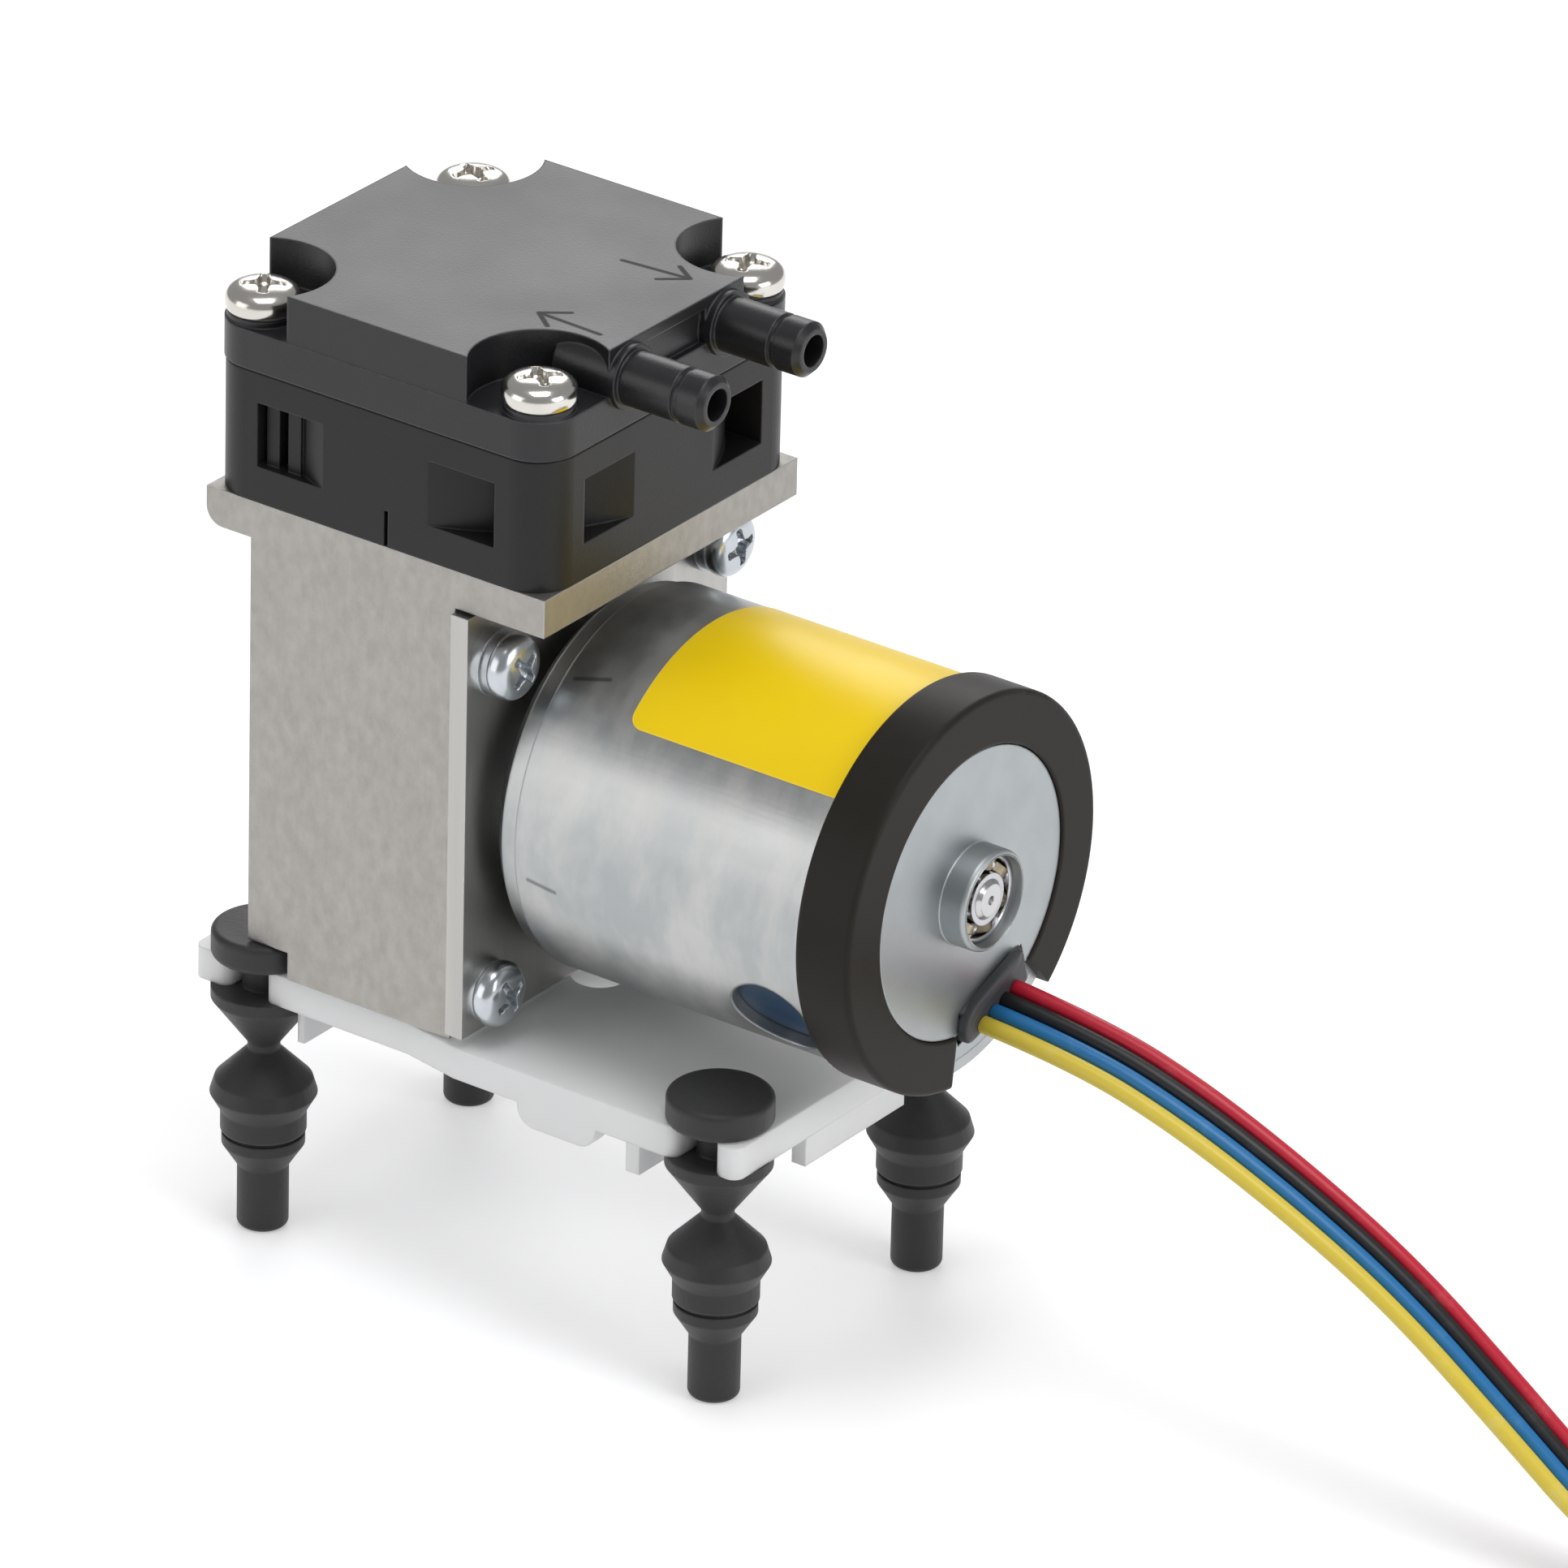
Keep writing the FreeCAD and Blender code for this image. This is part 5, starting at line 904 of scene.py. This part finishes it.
metals = {
    "cast_aluminium": dict(
        colour=(0.405, 0.39, 0.367), shade=(0.35, 0.335, 0.315), haze=(0.44, 0.425, 0.4),
        edge=(0.8, 0.79, 0.78), round=0.0002, rub=1.6, stretch=(1.0, 1.0, 0.6), lines=10500.0,
        grain=2600.0, patch=150.0, cloud=0.28, pitting=1.4, relief=0.6, rough=0.44, dull=0.05,
    ),
    "plate_aluminium": dict(
        colour=(0.49, 0.48, 0.46), shade=(0.43, 0.42, 0.4), haze=(0.54, 0.53, 0.51),
        edge=(0.82, 0.82, 0.81), round=0.00015, rub=1.5, stretch=(1.0, 1.0, 0.04), lines=4600.0,
        patch=150.0, cloud=0.3, pitting=0.4, relief=0.35, rough=0.36,
    ),
    "turned_aluminium": dict(
        colour=(0.68, 0.68, 0.69), shade=(0.6, 0.6, 0.61), haze=(0.72, 0.72, 0.73),
        edge=(0.88, 0.88, 0.88), rub=1.5, stretch=(1.0, 1.0, 0.1),
        grain=4000.0, patch=200.0, cloud=0.2, pitting=0.2, rough=0.28, dull=0.05,
    ),
    "turned_brass": dict(
        colour=(0.7, 0.5, 0.21), shade=(0.58, 0.4, 0.16), haze=(0.5, 0.33, 0.14),
        edge=(0.88, 0.7, 0.38), round=0.00015, rub=1.6, stretch=(0.15, 1.0, 1.0),
        grain=4000.0, patch=160.0, rough=0.3, dull=0.1,
    ),
    "cage_bronze": dict(
        # the dark brown haze patches are painted shade in the rear boss's mouth
        colour=(0.36, 0.32, 0.23), shade=(0.27, 0.23, 0.16), haze=(0.13, 0.1, 0.07),
        edge=(0.6, 0.56, 0.45), rub=1.2, stretch=(0.3, 1.0, 1.0),
        grain=4000.0, patch=900.0, cloud=0.7, rough=0.36, dull=0.1,
    ),
    "black_steel": dict(
        colour=(0.075, 0.075, 0.08), shade=(0.05, 0.05, 0.055), haze=(0.09, 0.085, 0.08),
        edge=(0.3, 0.3, 0.3), rub=2.0, stretch=(1.0, 1.0, 0.3),
        grain=4800.0, patch=300.0, pitting=0.4, rough=0.42,
    ),
    "nickel_screw": dict(
        colour=(0.74, 0.715, 0.67), shade=(0.64, 0.61, 0.57), haze=(0.56, 0.53, 0.49),
        edge=(0.92, 0.91, 0.89), rub=0.8, stretch=(1.0, 1.0, 0.5), lines=2600.0,
        patch=420.0, cloud=0.35, pitting=0.2, relief=0.12, rough=0.16,
    ),
    "zinc_screw": dict(
        colour=(0.6, 0.63, 0.66), shade=(0.5, 0.53, 0.56), haze=(0.44, 0.47, 0.5),
        edge=(0.86, 0.87, 0.88), rub=0.9, stretch=(1.0, 1.0, 0.5), lines=2600.0,
        patch=420.0, relief=0.15, rough=0.2, dull=0.08,
    ),
    "washer_steel": dict(
        colour=(0.5, 0.52, 0.54), shade=(0.42, 0.44, 0.46), haze=(0.36, 0.37, 0.38),
        edge=(0.78, 0.79, 0.8), rub=1.4, stretch=(0.3, 1.0, 1.0), lines=3600.0,
        grain=4200.0, patch=380.0, pitting=0.3, relief=0.25, rough=0.3, dull=0.08,
    ),
    "zinc_can": dict(
        colour=(0.49, 0.495, 0.49), shade=(0.42, 0.43, 0.43), haze=(0.33, 0.36, 0.375),
        edge=(0.8, 0.82, 0.84), round=0.00025, rub=1.4, stretch=(0.06, 1.0, 1.0), lines=1800.0,
        grain=2200.0, patch=85.0, cloud=0.75, pitting=0.3, relief=0.16, rough=0.29, dull=0.1,
        # the mark colour here is painted shade in the stake dents
        markColour=(0.05, 0.05, 0.055), blotch=230.0, blotchColour=(0.62, 0.615, 0.59),
    ),
    "zinc_cap": dict(
        colour=(0.44, 0.465, 0.475), shade=(0.4, 0.425, 0.435), haze=(0.375, 0.4, 0.41),
        edge=(0.8, 0.83, 0.84), round=0.0002, rub=1.5, lines=2200.0,
        grain=3000.0, patch=90.0, pitting=0.5, relief=0.16, rough=0.4,
    ),
    "magnet_grey": dict(
        colour=(0.13, 0.13, 0.14), shade=(0.1, 0.1, 0.11), haze=(0.17, 0.17, 0.18),
        edge=(0.3, 0.3, 0.31), round=0.0002, rub=1.8, lines=2600.0,
        patch=220.0, cloud=0.5, pitting=1.0, relief=0.45, rough=0.46, dull=0.08, metal=0.8,
    ),
    "shaft_steel": dict(
        colour=(0.62, 0.62, 0.63), shade=(0.54, 0.54, 0.55), haze=(0.48, 0.47, 0.46),
        edge=(0.86, 0.86, 0.86), rub=1.2, stretch=(1.0, 0.2, 0.2), grain=4200.0,
        patch=260.0, cloud=0.25, pitting=0.1, relief=0.2, rough=0.18,
    ),
    "bearing_steel": dict(
        colour=(0.6, 0.6, 0.62), shade=(0.52, 0.52, 0.54), haze=(0.46, 0.45, 0.45),
        edge=(0.86, 0.86, 0.87), rub=1.0, stretch=(0.2, 1.0, 1.0), grain=4200.0,
        patch=260.0, cloud=0.3, pitting=0.1, relief=0.15, rough=0.17, dull=0.07,
    ),
    "tinned_copper": dict(
        colour=(0.7, 0.69, 0.66), shade=(0.6, 0.57, 0.52), haze=(0.62, 0.48, 0.36),
        edge=(0.88, 0.87, 0.85), round=0.00004, rub=0.8, stretch=(0.3, 1.0, 1.0), lines=6200.0,
        grain=6200.0, patch=900.0, cloud=0.45, pitting=0.3, relief=0.2, rough=0.3, dull=0.08,
    ),
}
rubberForm = dict(round=0.0001, rub=1.0, grain=4200.0, patch=260.0)
rubbers = {
    "seal_rubber": dict(
        colour=(0.045, 0.045, 0.05), shade=(0.065, 0.065, 0.07), edge=(0.1, 0.1, 0.105), rough=0.62,
    ),
    "flap_rubber": dict(
        colour=(0.3, 0.12, 0.08), shade=(0.36, 0.17, 0.12), edge=(0.42, 0.24, 0.18), rough=0.58,
    ),
    "diaphragm_rubber": dict(
        colour=(0.028, 0.028, 0.03), shade=(0.045, 0.045, 0.047), edge=(0.09, 0.09, 0.092),
        round=0.0002, grain=3600.0, rough=0.6,
    ),
    "foot_rubber": dict(
        colour=(0.014, 0.014, 0.015), shade=(0.024, 0.024, 0.025), edge=(0.11, 0.11, 0.115),
        round=0.0003, rub=1.3, grain=3400.0, rough=0.5,
    ),
}
ridgedForm = dict(round=0.0001, rub=3.0, grain=5000.0, patch=500.0)
ridged = {
    "stator_steel": dict(
        colour=(0.4, 0.4, 0.41), gap=(0.12, 0.11, 0.1), shade=(0.26, 0.24, 0.22),
        pitch=0.00035, radial=False, rough=0.35, metal=1.0,
    ),
    "copper_wire": dict(
        colour=(0.72, 0.33, 0.13), gap=(0.16, 0.05, 0.02), shade=(0.48, 0.2, 0.08),
        pitch=0.00042, radial=True, rough=0.24, metal=0.9,
    ),
}
boards = {
    "board_green": dict(
        colour=(0.02, 0.17, 0.07), track=(0.035, 0.26, 0.11), pad=(0.62, 0.6, 0.55), rough=0.3,
        cells=420.0, random=0.35,
    ),
}
stickers = {
    "label_yellow": dict(
        colour=(0.98, 0.69, 0.0), shade=(0.95, 0.65, 0.0), edge=(0.97, 0.85, 0.42), rough=0.38,
        round=0.00015, rub=1.2, grain=2600.0, patch=180.0,
    ),
}
jacketForm = dict(rough=0.38)
jackets = {
    "wire_red": dict(colour=(0.55, 0.012, 0.035), scuff=(0.66, 0.12, 0.14)),
    "wire_black": dict(colour=(0.012, 0.012, 0.013), scuff=(0.06, 0.06, 0.062), rough=0.4),
    "wire_blue": dict(colour=(0.015, 0.17, 0.42), scuff=(0.1, 0.28, 0.5)),
    "wire_yellow": dict(colour=(0.75, 0.58, 0.06), scuff=(0.8, 0.68, 0.26)),
}
families = (
    (mouldedPlastic, plasticForm, plastics), (drawnMetal, metalForm, metals), (softRubber, rubberForm, rubbers),
    (ridgedMetal, ridgedForm, ridged), (leadJacket, jacketForm, jackets), (circuitBoard, {}, boards),
    (stickerVinyl, {}, stickers),
)
finishes = {
    name: mixFinish(name, make, {**form, **values})
    for make, form, family in families for name, values in family.items()
}
print("finishes mixed:", len(finishes))


def dress(piece, material):
    # every slot of the piece gets the one material
    if piece.material_slots:
        for place in piece.material_slots:
            place.material = material
    else:
        piece.data.materials.append(material)


for part in frame["record"]["subparts"]:
    dress(nodes[part["node"]], finishes[part["material_slot"]])
for piece in screwPieces + motorPieces + list(endPieces.values()) + list(leadPieces.values()):
    dress(piece, finishes["cage_bronze" if piece.name == "rearBallCage" else piece["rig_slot"]])
print("pieces dressed")

# floor, lamps and sky
studio = dict(
    floor=(0.86, 0.86, 0.865), floorGlow=0.36, floorRadius=3.0, floorHeight=-0.00002,
    mottle=6.0, mottleShade=0.99,
    sky=(0.98, 0.99, 1.0), skyLight=0.36,
    aim=(0.0, 0.0, 0.04),
    lamps={
        "keyBox": dict(place=(-0.62, -1.00, 0.36), size=0.75, share=0.17, tint=(1.0, 0.985, 0.965)),
        "topBox": dict(place=(0.1, -0.1, 1.2), size=0.6, share=0.42, tint=(0.985, 0.99, 1.0)),
        "sideBox": dict(place=(1.1, 0.05, 0.45), size=0.6, share=0.34),
        "backBox": dict(place=(-0.62, 0.88, 0.6), size=0.6, share=0.22),
    },
)
white = (1.0, 1.0, 1.0)


def layFloor(values):
    # x = r cos a, y = r sin a just under height 0, from a small ring out to the floor's edge
    radius = np.linspace(0.02, 1.0, 24)[:, None] ** 1.5 * values["floorRadius"]
    rings = aboutZ(radius, fullTurn(96)[None, :], values["floorHeight"])
    points = np.concatenate([rings.reshape(-1, 3), [[0.0, 0.0, values["floorHeight"]]]])
    floor = makePiece("paleFloor", points, ringFaces(*rings.shape[:2])[0])
    material, tree = newFinish("paleFloor")
    tree.nodes.remove(tree.nodes["Principled BSDF"])
    path = put(tree, "ShaderNodeLightPath", {}).outputs
    seen = reckon(tree, "MAXIMUM", path["Is Camera Ray"], path["Is Glossy Ray"])
    mottle = noise(tree, objectPlace(tree), values["mottle"], 3.0)
    shade = tuple(values["mottleShade"] * part for part in values["floor"])
    matt = put(tree, "ShaderNodeBsdfDiffuse", {"Color": between(tree, mottle, values["floor"], shade)})
    strength = times(tree, seen, values["floorGlow"])
    glow = put(tree, "ShaderNodeEmission", {"Color": (*white, 1.0), "Strength": strength})
    both = put(tree, "ShaderNodeAddShader", {0: matt.outputs[0], 1: glow.outputs[0]})
    tree.links.new(both.outputs[0], tree.nodes["Material Output"].inputs["Surface"])
    floor.data.materials.append(material)


def lightSky(values):
    # white where the camera sees it, and a plain dim sky for the rest
    world = bpy.data.worlds.new("studioSky")
    bpy.context.scene.world = world
    world.use_nodes = True
    tree = world.node_tree
    background = tree.nodes["Background"]
    seen = put(tree, "ShaderNodeLightPath", {}).outputs["Is Camera Ray"]
    tree.links.new(between(tree, seen, values["sky"], white), background.inputs["Color"])
    tree.links.new(level(tree, seen, values["skyLight"], 1.0), background.inputs["Strength"])


def hangLamp(name, values, aim):
    # power for a share of full white on a card that faces the lamp at its distance: share pi^2 distance^2
    data = bpy.data.lights.new(name, "AREA")
    data.shape = "SQUARE"
    data.size = values["size"]
    data.color = values.get("tint", white)
    away = Vector(values["place"]) - Vector(aim)
    data.energy = values["share"] * math.pi ** 2 * away.length_squared
    lamp = bpy.data.objects.new(name, data)
    turn = away.to_track_quat("Z", "Y").to_matrix().to_4x4()
    lamp.matrix_world = Matrix.Translation(values["place"]) @ turn
    bpy.context.scene.collection.objects.link(lamp)


layFloor(studio)
lightSky(studio)
for name, values in studio["lamps"].items():
    hangLamp(name, values, studio["aim"])
bpy.context.scene.view_settings.view_transform = "Standard"
print("studio lit")

bpy.context.view_layer.update()
